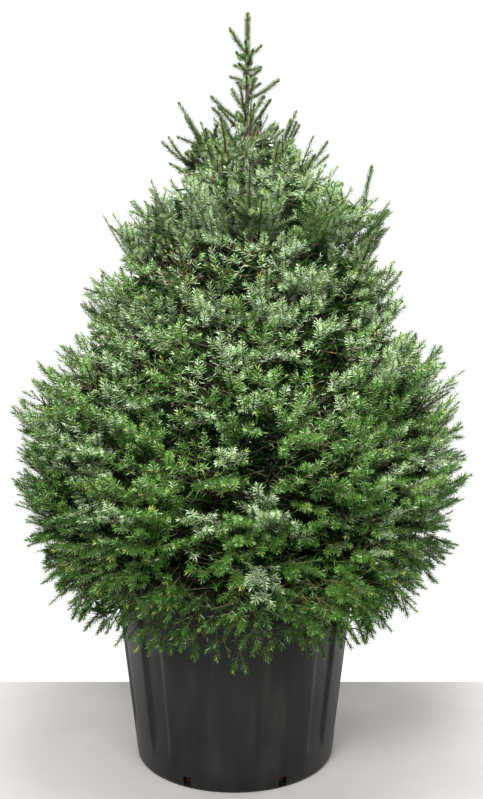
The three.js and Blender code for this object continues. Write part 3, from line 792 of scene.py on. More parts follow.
def grow_twig(shoots, start, tip, rise, draw):
    """A twig that turns towards its tier's lie at the end, with its side shoots."""
    reach = np.linalg.norm(tip - start)
    away = unit(tip - trunk_middle(tip[2]))
    lie = unit(TWIG_OUT * away + UP * rise)
    bend = lerp(lerp(start, tip, 0.5), tip - lie * 0.5 * reach, TWIG_TURN)
    tone, silver = spray_tone(tip, draw)
    # A twig whose tip lies far inside the crown takes the dark painted-shade tone.
    if depth_in_crown(tip) > PAINTED_SHADE_FROM:
        tone = PAINTED_SHADE_TONE
    bare = min(TWIG_BARE[1], max(TWIG_BARE[0], 1 - PLUME_COVER * PLUME_LENGTH / reach))
    shoots.add(start, bend, tip, tone, silver, TWIG_RADIUS, bare, TWIG)
    grow_side_shoots(shoots, Line(start, bend, tip), reach, tone, silver, draw)


def outer_places(count):
    """Bearings and heights spread evenly over the face of the crown."""
    heights = np.linspace(CROWN[0][0], OUTER_TOP, OUTER_STEPS)
    reach = crown_reach(0.0, heights)
    area = np.cumsum(reach * np.hypot(1, np.gradient(reach, heights)))
    shares = (np.arange(count) + 0.5) / count
    return zip(GOLDEN_ANGLE * np.arange(count), np.interp(shares * area[-1], area, heights))


def twig_places(twigs):
    """A search tree of points along the outer half of the twigs, each numbered by its twig."""
    tree = KDTree(len(twigs) * len(ROOT_SHARES))
    for share in ROOT_SHARES:
        for row, point in enumerate(curve_points(twigs, np.full(len(twigs), share))):
            tree.insert(point, row)
    tree.balance()
    return tree


def grow_outer_shoots(shoots):
    """Plumes over the crown's face where no tip is near, each from the nearest twig."""
    draw = seeded(OUTER_SEED)
    twigs = shoots.table()
    twigs = twigs[twigs[:, ORDER] == TWIG]
    tree = twig_places(twigs)
    tips = list(twigs[:, TIP])
    for bearing, height in outer_places(OUTER_SHOOTS):
        reach = reach_towards(bearing, height)
        furthest = from_trunk(bearing, reach, height + swing(OUTER_HEIGHT_SWING, draw))
        tip = furthest - outward(bearing) * (float(dip(furthest)) + OUTER_DEPTH * draw())
        rise = np.interp(height, *np.array(OUTER_RISE).T) + swing(OUTER_RISE_SWING, draw)
        lie = unit(outward(bearing + swing(OUTER_TURN_SWING, draw)) + UP * rise)
        beside = twigs[tree.find(tip)[1]]
        lie = unit((1 - OUTER_FOLLOW) * lie + OUTER_FOLLOW * unit(beside[TIP] - beside[BEND]))
        root = tip - lie * OUTER_LENGTH * lerp(*SIZES, draw())
        tone, silver = spray_tone(tip, draw)
        own_colour = draw() < OUTER_OWN_COLOUR
        place, row, distance = tree.find(root)
        near = np.linalg.norm(np.array(tips) - tip, axis=1).min()
        apart = np.interp(height, *np.array(OUTER_APART).T)
        if near < apart or distance > OUTER_FURTHEST or not in_open(tip):
            continue
        if not own_colour:
            tone = max(GREEN, twigs[row, TONE])
            silver = twigs[row, SILVER]
        tips.append(tip)
        start = np.array(place)
        bend = lerp(root, tip, OUTER_BEND)
        shoots.add(start, bend, tip, tone, silver, *STEMS["plume"], PLUME)
        grow_side_shoots(shoots, Line(start, bend, tip), np.linalg.norm(tip - start), tone, silver, draw)


def grow_shade_twigs(shoots):
    """Twigs of old needles all round behind the plumes, in their shade, coloured dark as painted shade, each
    from the nearest twig.
    """
    draw = seeded(SHADE_SEED)
    twigs = shoots.table()
    tree = twig_places(twigs[twigs[:, ORDER] == TWIG])
    for count, nearest, deepest in SHADE_LAYERS:
        for bearing, height in outer_places(count):
            reach = reach_towards(bearing, height)
            face = from_trunk(bearing, reach, height)
            depth = float(dip(face)) + lerp(nearest, deepest, draw())
            way = outward(bearing + 90 + swing(SHADE_TURN_SWING, draw)) * (1 if draw() < 0.5 else -1)
            half = unit(way + UP * swing(SHADE_RISE_SWING, draw)) * 0.5 * SHADE_LENGTH
            middle = face - outward(bearing) * depth
            tip = middle + half
            start = np.array(tree.find(middle - half)[0])
            if depth < reach and in_open(tip) and in_open(middle):
                shoots.add(start, lerp(middle, tip, SHADE_BEND), tip, PAINTED_SHADE_TONE, 0.0, *STEMS["shade"], INNER)


def grow_whorl(shoots, curve, share, length, colour, draw):
    """Short shoots all round one place of a leading shoot."""
    place = curve.point(share)
    along = curve.tangent(share)
    across = unit(np.cross(along, WHORL_ASIDE))
    third = np.cross(along, across)
    least, most = (reach * length for reach in WHORL_REACHES)
    for k in range(WHORL_SHOOTS):
        turn = 2 * math.pi * (k + WHORL_STAGGER * draw()) / WHORL_SHOOTS
        spread = math.radians(lerp(*WHORL_SPREADS, draw()))
        beside = math.cos(turn) * across + math.sin(turn) * third
        way = math.cos(spread) * along + math.sin(spread) * beside
        tip = place + way * lerp(least, most, draw())
        if in_open(tip):
            shoots.add(place, lerp(place, tip, 0.5), tip, *colour, *STEMS["whorl"], LEADING)


def leading_between(draw):
    """Leading shoots towards the front and the back, listed like those that the photo shows at the sides."""
    rows = []
    for k in range(LEADING_BETWEEN):
        bearing = (90 if k % 2 else -90) + swing(BETWEEN_SWING, draw)
        height = lerp(*BETWEEN_HEIGHTS, (k + draw()) / LEADING_BETWEEN)
        reach = reach_towards(bearing, height - BETWEEN_DROP) - BETWEEN_BEHIND
        rows.append((bearing, reach, height, lerp(*BETWEEN_LENGTHS, draw()), lerp(*BETWEEN_LEANS, draw())))
    return tuple(rows)


def grow_leading_shoots(shoots):
    """The shoots that stand out of the crown, each with side shoots on its lower half and a whorl above."""
    draw = seeded(LEADING_SEED)
    for bearing, reach, height, length, lean in LEADING_SHOOTS + FINER_SHOOTS + leading_between(draw):
        rise = length / math.hypot(1, lean)
        tip = from_trunk(bearing, reach, height)
        root = from_trunk(bearing, reach - lean * rise, height - rise)
        start = CENTRES[np.argmin(np.linalg.norm(CENTRES - lerp(root, tip, LEADING_NEAR), axis=1))]
        bend = lerp(root, tip, LEADING_BEND)
        tone = spray_tone(tip, draw)[0]
        stem = STEMS["leading" if bearing in (0, 180) else "between"]
        shoots.add(start, bend, tip, tone, LEADING_SILVER, *stem, LEADING)
        curve = Line(start, bend, tip)
        whole = np.linalg.norm(tip - start)
        grow_side_shoots(shoots, curve, whole, tone, LEADING_SILVER, draw, 0.5 * length, LEADING_SLACK)
        if length > WHORL_FROM:
            share = 1 - WHORL_BEHIND * length / whole
            grow_whorl(shoots, curve, share, length, (tone, LEADING_SILVER), draw)


def grow_leader(shoots):
    """The leader: a spike, a cluster of short shoots under it, then longer shoots at its foot."""
    draw = seeded(LEADER_SEED)

    def add(kind, start, bend, tip):
        shoots.add(start, bend, tip, GREEN, LEADER_SILVER[kind], *STEMS[kind], LEADING)

    add("spike", *(trunk_middle(z) for z in (SPIKE_FOOT, SPIKE_BEND, LEADER_TOP)))
    for k in range(LEADER_SHOOTS):
        start = trunk_middle(lerp(*LEADER_CLUSTER, (k + 0.5) / LEADER_SHOOTS))
        bearing = GOLDEN_ANGLE * k + swing(LEADER_SWING, draw)
        way = rising(bearing, lerp(*LEADER_SPREADS, draw()))
        length = LEADER_SPRAY * lerp(LEADER_LEAST, 1.0, draw())
        add("cluster", start, start + way * length * 0.5 - LEADER_SAG, start + way * length)
    for k in range(FOOT_SHOOTS):
        share = (k + 0.5) / FOOT_SHOOTS
        start = trunk_middle(lerp(*FOOT_HEIGHTS, share))
        way = rising(GOLDEN_ANGLE * k + FOOT_TURN, lerp(*FOOT_SPREADS, share) + swing(FOOT_SWING, draw))
        tip = start + way * lerp(*FOOT_LENGTHS, share)
        add("foot", start, lerp(start, tip, 0.5) - FOOT_SAG, tip)
    for bearing in UPRIGHT_BEARINGS:
        foot, middle, top = UPRIGHT_HEIGHTS
        tip = from_trunk(bearing, UPRIGHT_OUT[1], top - UPRIGHT_DROP * draw())
        add("upright", trunk_middle(foot), from_trunk(bearing, UPRIGHT_OUT[0], middle), tip)
    for bearing, reach, height, length, lean in TOP_SHOOTS:
        tip = from_trunk(bearing, reach, height)
        root = trunk_middle(height - length / math.hypot(1, lean))
        add("top", root, lerp(root, tip, 0.5) + UP * (TOP_SAG * length), tip)


def grow_plant():
    shoots = Shoots()
    for index, limb in enumerate(LIMBS):
        grow_mass(shoots, index, limb)
    grow_outer_shoots(shoots)
    grow_shade_twigs(shoots)
    grow_leading_shoots(shoots)
    grow_leader(shoots)
    return shoots.table()


# Meshes.
def add_object(name, data, place=(0, 0, 0), turn=(0, 0, 0)):
    obj = bpy.data.objects.new(name, data)
    obj.location = place
    obj.rotation_euler = turn
    bpy.context.scene.collection.objects.link(obj)
    return obj


def mesh_object(name, points, triangles, material, smooth=False):
    """An object from arrays of points and triangles."""
    mesh = bpy.data.meshes.new(name)
    mesh.vertices.add(len(points))
    mesh.vertices.foreach_set("co", np.ascontiguousarray(points, np.float32).ravel())
    mesh.loops.add(len(triangles) * 3)
    mesh.loops.foreach_set("vertex_index", np.ascontiguousarray(triangles, np.int32).ravel())
    mesh.polygons.add(len(triangles))
    mesh.polygons.foreach_set("loop_start", np.arange(0, len(triangles) * 3, 3, dtype=np.int32))
    mesh.polygons.foreach_set("use_smooth", np.full(len(triangles), smooth))
    mesh.update(calc_edges=True)
    mesh.validate()
    mesh.materials.append(material)
    return add_object(name, mesh)


def wall_faces(rings, sides):
    """Triangles between rings of points that follow each other."""
    faces = []
    for ring in range(rings - 1):
        for k in range(sides):
            a = ring * sides + k
            b = ring * sides + (k + 1) % sides
            faces += [(a, b, b + sides), (a, b + sides, a + sides)]
    return faces


def closed_faces(rings, sides):
    """The same, closed at both ends to two middle points that come after the rings."""
    faces = wall_faces(rings, sides)
    first = rings * sides
    top = first - sides
    for k in range(sides):
        following = (k + 1) % sides
        faces += [(first, following, k), (first + 1, top + k, top + following)]
    return np.array(faces)


def repeated(faces, points, count):
    """Triangles of many like meshes, each with so many points, as one."""
    return (np.array(faces)[None] + points * np.arange(count)[:, None, None]).reshape(-1, 3)


def joined(parts):
    """Points and triangles of several meshes as one."""
    points = np.concatenate([part[0] for part in parts])
    firsts = np.cumsum([0] + [len(part[0]) for part in parts])
    return points, np.concatenate([part[1] + first for part, first in zip(parts, firsts)])


def three_round(middle, radius, upper, across):
    """Three points round each middle."""
    turns = np.arange(3) * 2 * math.pi / 3
    return [middle + radius * (math.cos(turn) * upper + math.sin(turn) * across) for turn in turns]


def twig_mesh(table, steps):
    """Three-sided tapering twigs along curves."""
    rings = []
    for s in range(steps + 1):
        t = np.full(len(table), s / steps)
        along = curve_tangents(table, t)
        upper = upper_side(along)
        radius = table[:, RADIUS] * lerp(1.0, TIP_TAPER, s / steps)
        rings += three_round(curve_points(table, t), radius[:, None], upper, np.cross(along, upper))
    points = np.stack(rings, axis=1).reshape(-1, 3)
    return points, repeated(wall_faces(steps + 1, 3), len(rings), len(table))


def needle_set(table, size, first, last):
    """Needles on a stretch of all shoots: corners, shoot's row, place on it and how far to its side."""
    per_metre, needle_length, needle_width, needle_lean = size
    lengths = curve_lengths(table)
    counts = np.maximum(NEEDLES_LEAST, lengths * (last - first) * per_metre).astype(int)
    row = np.repeat(np.arange(len(table)), counts)
    number = np.arange(len(row)) - np.repeat(np.cumsum(counts) - counts, counts)
    share = (number + rng.random(len(row))) / counts[row]
    first = np.broadcast_to(first, len(table))[row]
    t = first + (last - first) * share
    base = curve_points(table[row], t)
    along = curve_tangents(table[row], t)
    upper = upper_side(along)
    across = np.cross(along, upper)
    turn = np.radians(GOLDEN_ANGLE) * number + rng.uniform(*NEEDLE_TURNS, len(row))
    around = unit(np.cos(turn)[:, None] * across + NEEDLE_FLATNESS * np.sin(turn)[:, None] * upper)
    near_tip = np.clip((1 - t) * lengths[row] / NEEDLE_CLOSING, 0, 1)
    lean = needle_lean * lerp(NEEDLE_CLOSED, 1, near_tip**NEEDLE_CLOSING_POWER)
    lean = np.radians(lean + rng.uniform(*NEEDLE_LEANS, len(row)))
    way = np.cos(lean)[:, None] * along + np.sin(lean)[:, None] * around
    way = unit(way + NEEDLE_LIFT * upper)
    beside = unit(np.cross(along, around) + rng.uniform(*NEEDLE_TWISTS, (len(row), 3)))
    beside = unit(beside - way * (beside * way).sum(axis=1, keepdims=True))
    length = needle_length * rng.uniform(*NEEDLE_LENGTHS, len(row)) * lerp(NEEDLE_SHORTEST, 1.0, near_tip)
    width = needle_width * rng.uniform(*NEEDLE_WIDTHS, len(row))
    foot = beside * (NEEDLE_FOOT * width)[:, None]
    point = beside * (NEEDLE_POINT * width)[:, None]
    tip = base + way * length[:, None]
    corners = np.stack([base + foot, tip + point, tip - point, base - foot], axis=1)
    return corners, row, t, np.abs(np.cos(turn))


def seen(points):
    """Which needles are kept: all on the crown's face, ever fewer inside, where others hide them."""
    inside = np.clip((depth_in_crown(points) - THIN_FROM) / THIN_RUN, 0, 1)
    return rng.random(len(points)) < lerp(1, THIN_LEAST, inside)


def needle_kinds(table, row, t, side):
    """Each needle's colour: silver at the sides, the spray's green above, yellow near some tips."""
    silver_from = SILVER_FROM + SILVER_BLUR * (rng.random(len(row)) - 0.5)
    silver = (side > silver_from) & (rng.random(len(row)) < table[row, SILVER])
    tone = table[row, TONE].astype(int)
    leading = table[row, ORDER] == LEADING
    olive = leading & (rng.random(len(row)) < OLIVE_SHARE)
    kinds = np.where(olive, "olive", np.array(TONES)[tone])
    dim = (rng.random(len(row)) < DIM_SHARE) & ((tone == GREEN) | (tone == FRESH)) & ~olive
    kinds = np.where(dim, "moss", kinds)
    # Needles in painted shade get no silver.
    pale = silver & (tone != PAINTED_SHADE_TONE)
    bright = rng.random(len(row)) < np.where(table[row, SILVER] > BRIGHT_FROM, *BRIGHT_SHARES)
    kinds = np.where(pale & bright, "silver", np.where(pale, "sage", kinds))
    tipped = ~leading & (tone != PAINTED_SHADE_TONE) & (t > TIPPED_FROM) & (rng.random(len(row)) < TIPPED_SHARE)
    tipped &= rng.random(len(table))[row] < TIPPED_SHOOTS
    return np.where(tipped, "tips", kinds)


def add_needles(table, materials):
    """Joined needles, a piece for each colour and no more than so many triangles in a piece."""
    order = table[:, ORDER]
    # Shoots in painted shade get larger, sparser needles.
    deep = table[:, TONE] == PAINTED_SHADE_TONE
    green = (order != LEADING) & ~deep
    upper = table[:, TIP_HEIGHT] > UPPER_FROM
    hanging = table[:, TIP_HEIGHT] <= HANGING_TOP
    sets = (
        (table[green & ~upper & ~hanging], YOUNG_NEEDLES, 1.0),
        (table[green & upper], UPPER_NEEDLES, 1.0),
        (table[green & hanging], HANGING_NEEDLES, 1.0),
        (table[((order == TWIG) | (order == SIDE)) & deep], SHADED_NEEDLES, 1.0),
        (table[order == LEADING], LEADING_NEEDLES, LEADING_END),
    )
    corners = []
    kinds = []
    for some, size, last in sets:
        made, row, t, side = needle_set(some, size, some[:, BARE], last)
        keep = seen(made[:, 0])
        corners.append(made[keep])
        kinds.append(needle_kinds(some, row[keep], t[keep], side[keep]))
    # Large old needles on twigs and inner twigs, kept only well inside the crown and coloured dark as painted
    # shade.
    for kind, stretch in ((TWIG, OLD_ON_TWIGS), (INNER, OLD_ON_INNER)):
        made = needle_set(table[order == kind], OLD_PAINTED_SHADE_NEEDLES, *stretch)[0]
        made = made[depth_in_crown(made[:, 2]) > OLD_PAINTED_SHADE_DEPTH]
        corners.append(made)
        kinds.append(np.full(len(made), "deep"))
    corners = np.concatenate(corners)
    kinds = np.concatenate(kinds)
    pieces = []
    for kind, material in materials.items():
        mine = corners[kinds == kind]
        parts = max(1, math.ceil(2 * len(mine) / PIECE_TRIANGLES))
        for part in range(parts):
            some = mine[part::parts]
            first = 4 * np.arange(len(some))[:, None]
            triangles = np.concatenate([first + [0, 1, 2], first + [0, 2, 3]])
            pieces.append(mesh_object(f"needles_{kind}_{part + 1}", some.reshape(-1, 3), triangles, material))
    return pieces


def add_buds(table, material):
    """A small pointed bud at the tip of each leading shoot and twig, and of some plumes."""
    order = table[:, ORDER]
    rows = table[(order < SIDE) | ((order == PLUME) & (rng.random(len(table)) < BUD_SHARE))]
    ends = np.ones(len(rows))
    tip = curve_points(rows, ends)
    along = curve_tangents(rows, ends)
    upper = upper_side(along)
    size = np.choose(np.minimum(rows[:, ORDER], SIDE).astype(int), BUD_SIZES)[:, None]
    behind, radius, ahead = BUD_SHAPE
    ring = three_round(tip, radius * size, upper, np.cross(along, upper))
    points = np.stack([tip - along * size * behind, *ring, tip + along * size * ahead], axis=1)
    faces = [(0, 2, 1), (0, 3, 2), (0, 1, 3), (4, 1, 2), (4, 2, 3), (4, 3, 1)]
    return mesh_object("buds", points.reshape(-1, 3), repeated(faces, 5, len(rows)), material)


def tube(middle, along, radius, sides, relief, seed):
    """Points and triangles of a closed limb with bark relief, from its middle line."""
    level = np.array([1.0, 0, 0]) if abs(along[0][2]) > STEEP else UP
    upper = unit(level - along * (along @ level)[:, None])
    across = np.cross(along, upper)
    angles = np.arange(sides) * 2 * math.pi / sides
    ring = np.cos(angles)[None, :, None] * upper[:, None] + np.sin(angles)[None, :, None] * across[:, None]
    points = (middle[:, None] + radius[:, None, None] * ring).reshape(-1, 3)
    broad = (relief, BARK_BROAD_SCALE)
    fine = (BARK_FINE_SHARE * relief, BARK_FINE_SCALE)
    swell = np.repeat(radius, sides) * crumple(points * BARK_STRETCH, broad, fine, seed)
    points = points + ring.reshape(-1, 3) * swell[:, None]
    return np.concatenate([points, middle[[0, -1]]]), closed_faces(len(middle), sides)


def add_trunk(material):
    z = lerp(SOIL_TOP + TRUNK_LIFT, TRUNK_TIP, np.linspace(0, 1, TRUNK_RINGS))
    along = np.tile(UP, (len(z), 1))
    made = tube(trunk_middle(z), along, trunk_radius(z), TRUNK_SIDES, TRUNK_RELIEF, TRUNK_SEED)
    return mesh_object("trunk_bark", *made, material, smooth=True)


def add_limbs(material):
    """Every limb from the trunk to the end of its stem."""
    parts = []
    for index, limb in enumerate(LIMBS):
        line = limb["line"]
        t = np.linspace(0, 1, LIMB_RINGS) * (limb["tier"]["centred"] + LIMB_PAST)
        radius = lerp(LIMB_FOOT_RADIUS, LIMB_TIP_RADIUS, t)
        parts.append(tube(line.point(t), line.tangent(t), radius, LIMB_SIDES, LIMB_RELIEF, LIMB_SEED + index))
    return mesh_object("limb_bark", *joined(parts), material, smooth=True)


# Pot and soil.
def flute_share(bearing, z):
    """How far a flute is sunk at a bearing from the front and a height, from 0 to 1, with soft edges."""
    pitch = 360 / FLUTES
    turned = np.mod(bearing - FLUTE_TURN + pitch / 2, pitch) - pitch / 2
    across = np.clip(FLUTE_STEEPNESS * (1 - np.abs(turned) / FLUTE_HALF_ANGLE), 0, 1)
    across = across * across * (3 - 2 * across)
    starting = np.clip((z - FLUTE_START) / FLUTE_FADE, 0, 1)
    ending = np.clip((FLUTE_END + FLUTE_END_FADE - z) / FLUTE_END_FADE, 0, 1)
    return across * (starting * ending)


def turned_mesh(profile, segments, shape):
    """A turned profile from axis to axis, with a rule for the radius by bearing, radius and height."""
    profile = np.array(profile)
    bearing = np.arange(segments) * 360 / segments
    inner = profile[1:-1]
    radius = shape(bearing[None, :], inner[:, 0:1], inner[:, 1:2])
    x = radius * np.sin(np.radians(bearing))[None]
    y = -radius * np.cos(np.radians(bearing))[None]
    z = np.broadcast_to(inner[:, 1:2], x.shape)
    points = np.stack([x, y, z], axis=-1).reshape(-1, 3)
    poles = [[0, 0, profile[0, 1]], [0, 0, profile[-1, 1]]]
    return np.concatenate([points, poles]), closed_faces(len(inner), segments)


def pot_profile():
    """Radius and height from the underside's middle, up the outside, over the lip and down the inside."""
    flute_foot = np.linspace(FLUTE_START, FLUTE_START + FLUTE_FADE, FLUTE_STEPS[0])
    flute_rest = np.linspace(FLUTE_START + FLUTE_FADE, FLUTE_END, FLUTE_STEPS[1])
    heights = [FLUTE_START, *flute_foot[1:], *flute_rest[1:], FLUTE_END + FLUTE_END_FADE]
    lip_bottom = POT_HEIGHT - LIP_DEPTH
    lip_radius = pot_radius(POT_HEIGHT) + LIP_OUT
    rounding = [
        (lip_radius - LIP_ROUND * (1 - math.sin(a)), POT_HEIGHT - LIP_ROUND * (1 - math.cos(a)))
        for a in np.radians([90, 60, 30, 0])
    ]
    return [
        (0, 0),
        (0.5 * POT_BASE_RADIUS, 0),
        (POT_BASE_RADIUS - POT_FOOT_BEVEL, 0),
        (POT_BASE_RADIUS - 0.3 * POT_FOOT_BEVEL, 0.3 * POT_FOOT_BEVEL),
        (pot_radius(POT_FOOT_BEVEL), POT_FOOT_BEVEL),
        *[(pot_radius(z), z) for z in heights],
        (pot_radius(lip_bottom), lip_bottom),
        (lip_radius - LIP_BEVEL[0], lip_bottom + LIP_BEVEL[1]),
        (lip_radius, lip_bottom + LIP_ROUND),
        *rounding,
        (pot_radius(POT_HEIGHT) - POT_WALL, POT_HEIGHT),
        *[(pot_radius(z) - POT_WALL, z) for z in heights[::-1]],
        (pot_radius(POT_FLOOR) - POT_WALL, POT_FLOOR),
        (0.5 * POT_BASE_RADIUS, POT_FLOOR),
        (0, POT_FLOOR),
    ]


def box_mesh(size, place, turn):
    """A plain box used as a cutter."""
    halves = (-0.5, 0.5)
    corners = np.array([(x, y, z) for x in halves for y in halves for z in halves]) * size + place
    c = math.cos(turn)
    s = math.sin(turn)
    corners = corners @ np.array([[c, s, 0], [-s, c, 0], [0, 0, 1]])
    quads = [(0, 1, 3, 2), (4, 6, 7, 5), (0, 4, 5, 1), (2, 3, 7, 6), (0, 2, 6, 4), (1, 5, 7, 3)]
    faces = [triangle for i, j, k, l in quads for triangle in ((i, j, k), (i, k, l))]
    return corners, np.array(faces)


def add_pot(material):
    """The fluted shell, with drain slots cut through its wall."""

    def fluted(bearing, radius, z):
        return radius - FLUTE_DEPTH * flute_share(bearing, z) * (radius > FLUTED_FROM)

    pot = mesh_object("pot_shell", *turned_mesh(pot_profile(), POT_SEGMENTS, fluted), material, smooth=True)
    size = (DRAIN_WIDTH, 4 * POT_WALL, DRAIN_TOP - DRAIN_BOTTOM)
    place = (0, DRAIN_INSET - POT_BASE_RADIUS, (DRAIN_TOP + DRAIN_BOTTOM) / 2)
    turns = [math.radians(DRAIN_TURN + 360 / DRAIN_SLOTS * k) for k in range(DRAIN_SLOTS)]
    slots = [box_mesh(size, place, turn) for turn in turns]
    cutter = mesh_object("drain_cutter", *joined(slots), material)
    cut = pot.modifiers.new("drain", "BOOLEAN")
    cut.operation = "DIFFERENCE"
    cut.solver = "EXACT"
    cut.object = cutter
    edges = pot.modifiers.new("edges", "EDGE_SPLIT")
    edges.split_angle = math.radians(POT_EDGE_ANGLE)
    finished = bpy.data.meshes.new_from_object(pot.evaluated_get(bpy.context.evaluated_depsgraph_get()))
    pot.modifiers.clear()
    pot.data = finished
    bpy.data.objects.remove(cutter)
    return pot


def add_soil(material):
    """The compost, with a crumbled top."""

    def inner(z):
        return pot_radius(z) - POT_WALL - FLUTE_DEPTH - SOIL_GAP

    rings = np.linspace(SOIL_INNERMOST, 1, SOIL_RINGS)
    top = [(inner(SOIL_TOP) * r, SOIL_TOP - SOIL_MOUND * r) for r in rings[::-1]]
    bottom = POT_FLOOR + SOIL_LIFT
    profile = [(0, bottom), (inner(POT_FLOOR) * SOIL_FOOT_SHARE, bottom), *top, (0, SOIL_TOP)]
    points, faces = turned_mesh(profile, SOIL_SEGMENTS, lambda bearing, radius, z: radius + 0 * bearing)
    loose = points[:, 2] > SOIL_TOP - 1.5 * SOIL_MOUND
    points[loose, 2] += crumple(points, SOIL_BROAD, SOIL_FINE, SOIL_SEED)[loose] - SOIL_SUNK
    return mesh_object("soil_crumbs", points, faces, material, smooth=True)


# Materials.
def node_material(name, colour, rough, specular=0.4):
    material = bpy.data.materials.new(name)
    material.use_nodes = True
    shader = material.node_tree.nodes["Principled BSDF"]
    shader.inputs["Base Color"].default_value = (*colour, 1)
    shader.inputs["Roughness"].default_value = rough
    shader.inputs["Specular IOR Level"].default_value = specular
    return material, shader


def pattern(material, shader, stops, scale, stretch=(1, 1, 1), rough=None, bump=0.0, bump_scale=None):
    """Colour and roughness from a noise, by a ramp of stops, with bump from a finer noise."""
    links = material.node_tree.links

    def node(kind, source=None, into="Vector", **values):
        made = material.node_tree.nodes.new("ShaderNode" + kind)
        for name, value in values.items():
            made.inputs[name.replace("_", " ")].default_value = value
        if source:
            links.new(source, made.inputs[into])
        return made

    place = node("Mapping", node("TexCoord").outputs["Object"], Scale=stretch).outputs["Vector"]
    noise = node("TexNoise", place, Scale=scale, Detail=6).outputs["Fac"]
    ramp = node("ValToRGB", noise, "Fac")
    while len(ramp.color_ramp.elements) < len(stops):
        ramp.color_ramp.elements.new(0.5)
    for element, (position, colour) in zip(ramp.color_ramp.elements, stops):
        element.position = position
        element.color = (*colour, 1)
    links.new(ramp.outputs["Color"], shader.inputs["Base Color"])
    if rough:
        levels = node("MapRange", noise, "Value", To_Min=rough[0], To_Max=rough[1])
        links.new(levels.outputs["Result"], shader.inputs["Roughness"])
    if bump:
        fine = node("TexNoise", place, Scale=bump_scale, Detail=5).outputs["Fac"]
        relief = node("Bump", fine, "Height", Strength=bump, Distance=0.002)
        links.new(relief.outputs["Normal"], shader.inputs["Normal"])
    return material


def needle_materials():
    colours = dict(
        # Painted shade: the dark green of needles far inside the crown.
        deep=(0.013, 0.038, 0.006),
        moss=(0.036, 0.090, 0.014),
        green=(0.064, 0.138, 0.025),
        fresh=(0.080, 0.152, 0.027),
        olive=(0.092, 0.104, 0.044),
        sage=(0.182, 0.246, 0.116),
        silver=(0.258, 0.315, 0.214),
        tips=(0.190, 0.220, 0.050),
    )
    return {
        kind: node_material(f"needle_{kind}", colour, rough=0.55, specular=0.2)[0]
        for kind, colour in colours.items()
    }


def bark_material():
    plain = node_material("bark", (0.16, 0.09, 0.055), rough=0.9)
    stops = ((0.3, (0.014, 0.008, 0.006)), (0.5, (0.045, 0.022, 0.014)), (0.72, (0.095, 0.052, 0.034)))
    return pattern(*plain, stops, 60, stretch=(1, 1, 0.3), rough=(0.75, 1.0), bump=0.6, bump_scale=220)


def pot_material():
    plain = node_material("pot_plastic", (0.01, 0.01, 0.01), rough=0.5, specular=0.35)
    stops = ((0.3, (0.004, 0.004, 0.004)), (0.55, (0.007, 0.007, 0.007)), (0.8, (0.015, 0.015, 0.014)))
    return pattern(*plain, stops, 22, stretch=(1, 1, 0.12), rough=(0.38, 0.54), bump=0.15, bump_scale=400)


def soil_material():
    plain = node_material("soil", (0.06, 0.035, 0.022), rough=1.0, specular=0.2)
    stops = ((0.3, (0.03, 0.014, 0.008)), (0.5, (0.12, 0.05, 0.025)), (0.75, (0.22, 0.10, 0.05)))
    return pattern(*plain, stops, 140, rough=(0.85, 1.0), bump=0.8, bump_scale=300)


def floor_material():
    plain = node_material("floor", (0.33, 0.32, 0.31), rough=0.6, specular=0.3)
    stops = ((0.3, (0.228, 0.221, 0.214)), (0.7, (0.252, 0.244, 0.236)))
    return pattern(*plain, stops, 3)


# Stage.
def add_stage():
    """A pale floor that ends a little behind the pot, soft lights and a white surround."""
    points = np.array([(x, y, -FLOOR_UNDER) for x, y in FLOOR_CORNERS])
    mesh_object("floor", points, np.array([(0, 1, 2), (0, 2, 3)]), floor_material())
    world = bpy.data.worlds.new("surround")
    world.use_nodes = True
    world.node_tree.nodes["Background"].inputs["Color"].default_value = (1.0, 1.0, 1.0, 1)
    world.node_tree.nodes["Background"].inputs["Strength"].default_value = SURROUND_STRENGTH
    bpy.context.scene.world = world
    bpy.context.scene.view_settings.view_transform = "Standard"
    bpy.context.scene.view_settings.look = "Medium High Contrast"
    for light in LIGHTS:
        add_light(*light)


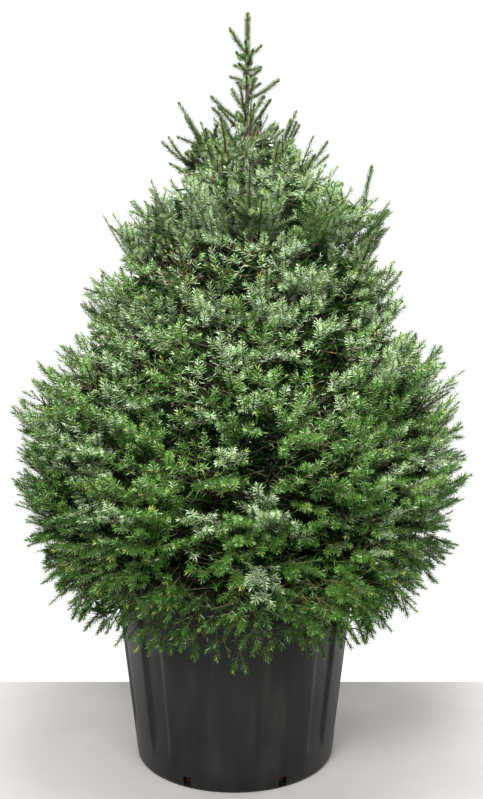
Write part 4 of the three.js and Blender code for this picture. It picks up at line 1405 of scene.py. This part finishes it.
def add_light(name, place, target, size, power):
    lamp = bpy.data.lights.new(name, "AREA")
    lamp.size = size
    lamp.energy = power
    aim = np.array(place) - np.array(target)
    yaw = math.atan2(aim[1], aim[0]) + math.pi / 2
    add_object(name, lamp, place, (math.acos(aim[2] / np.linalg.norm(aim)), 0, yaw))


def add_camera():
    camera = bpy.data.cameras.new("camera")
    camera.sensor_width = SENSOR
    camera.lens = FOCAL_PIXELS / IMAGE_HEIGHT * SENSOR
    turn = (math.radians(90 + CAMERA_PITCH), 0, 0)
    bpy.context.scene.camera = add_object("camera", camera, CAMERA_PLACE, turn)


def names(prefix):
    return sorted(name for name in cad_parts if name.startswith(prefix))


def dress():
    """All pieces, each riding on the one body; the CAD nodes are hidden."""
    bark = bark_material()
    table = grow_plant()
    needles = add_needles(table, needle_materials())
    young_twig = node_material("young_twig", (0.052, 0.042, 0.018), rough=0.8)[0]
    leading_twig = node_material("leading_twig", (0.115, 0.064, 0.027), rough=0.8)[0]
    old_twig = node_material("old_twig", (0.016, 0.011, 0.007), rough=0.9)[0]
    kinds = (
        ("twigs_leading", LEADING, 4, leading_twig),
        ("twigs_main", TWIG, 4, old_twig),
        ("twigs_side", SIDE, 1, young_twig),
        ("twigs_outer", PLUME, 2, young_twig),
        ("twigs_inner", INNER, 1, old_twig),
    )
    twigs = [
        mesh_object(name, *twig_mesh(table[table[:, ORDER] == order], steps), material)
        for name, order, steps, material in kinds
    ]
    buds = add_buds(table, node_material("bud", (0.032, 0.023, 0.017), rough=0.8)[0])
    trunk = add_trunk(bark)
    limbs = add_limbs(bark)
    pot = add_pot(pot_material())
    soil = add_soil(soil_material())
    dressed = [(piece, "needles") for piece in needles]
    dressed += [(piece, "bark") for piece in (*twigs, buds, trunk, limbs)]
    dressed += [(pot, "pot"), (soil, "soil")]
    for piece, slot in dressed:
        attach(piece, "root")
    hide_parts(*names("foliage_"))
    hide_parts("trunk")
    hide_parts(*names("bough_"))
    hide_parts("pot")
    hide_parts("soil")


add_camera()
add_stage()
dress()
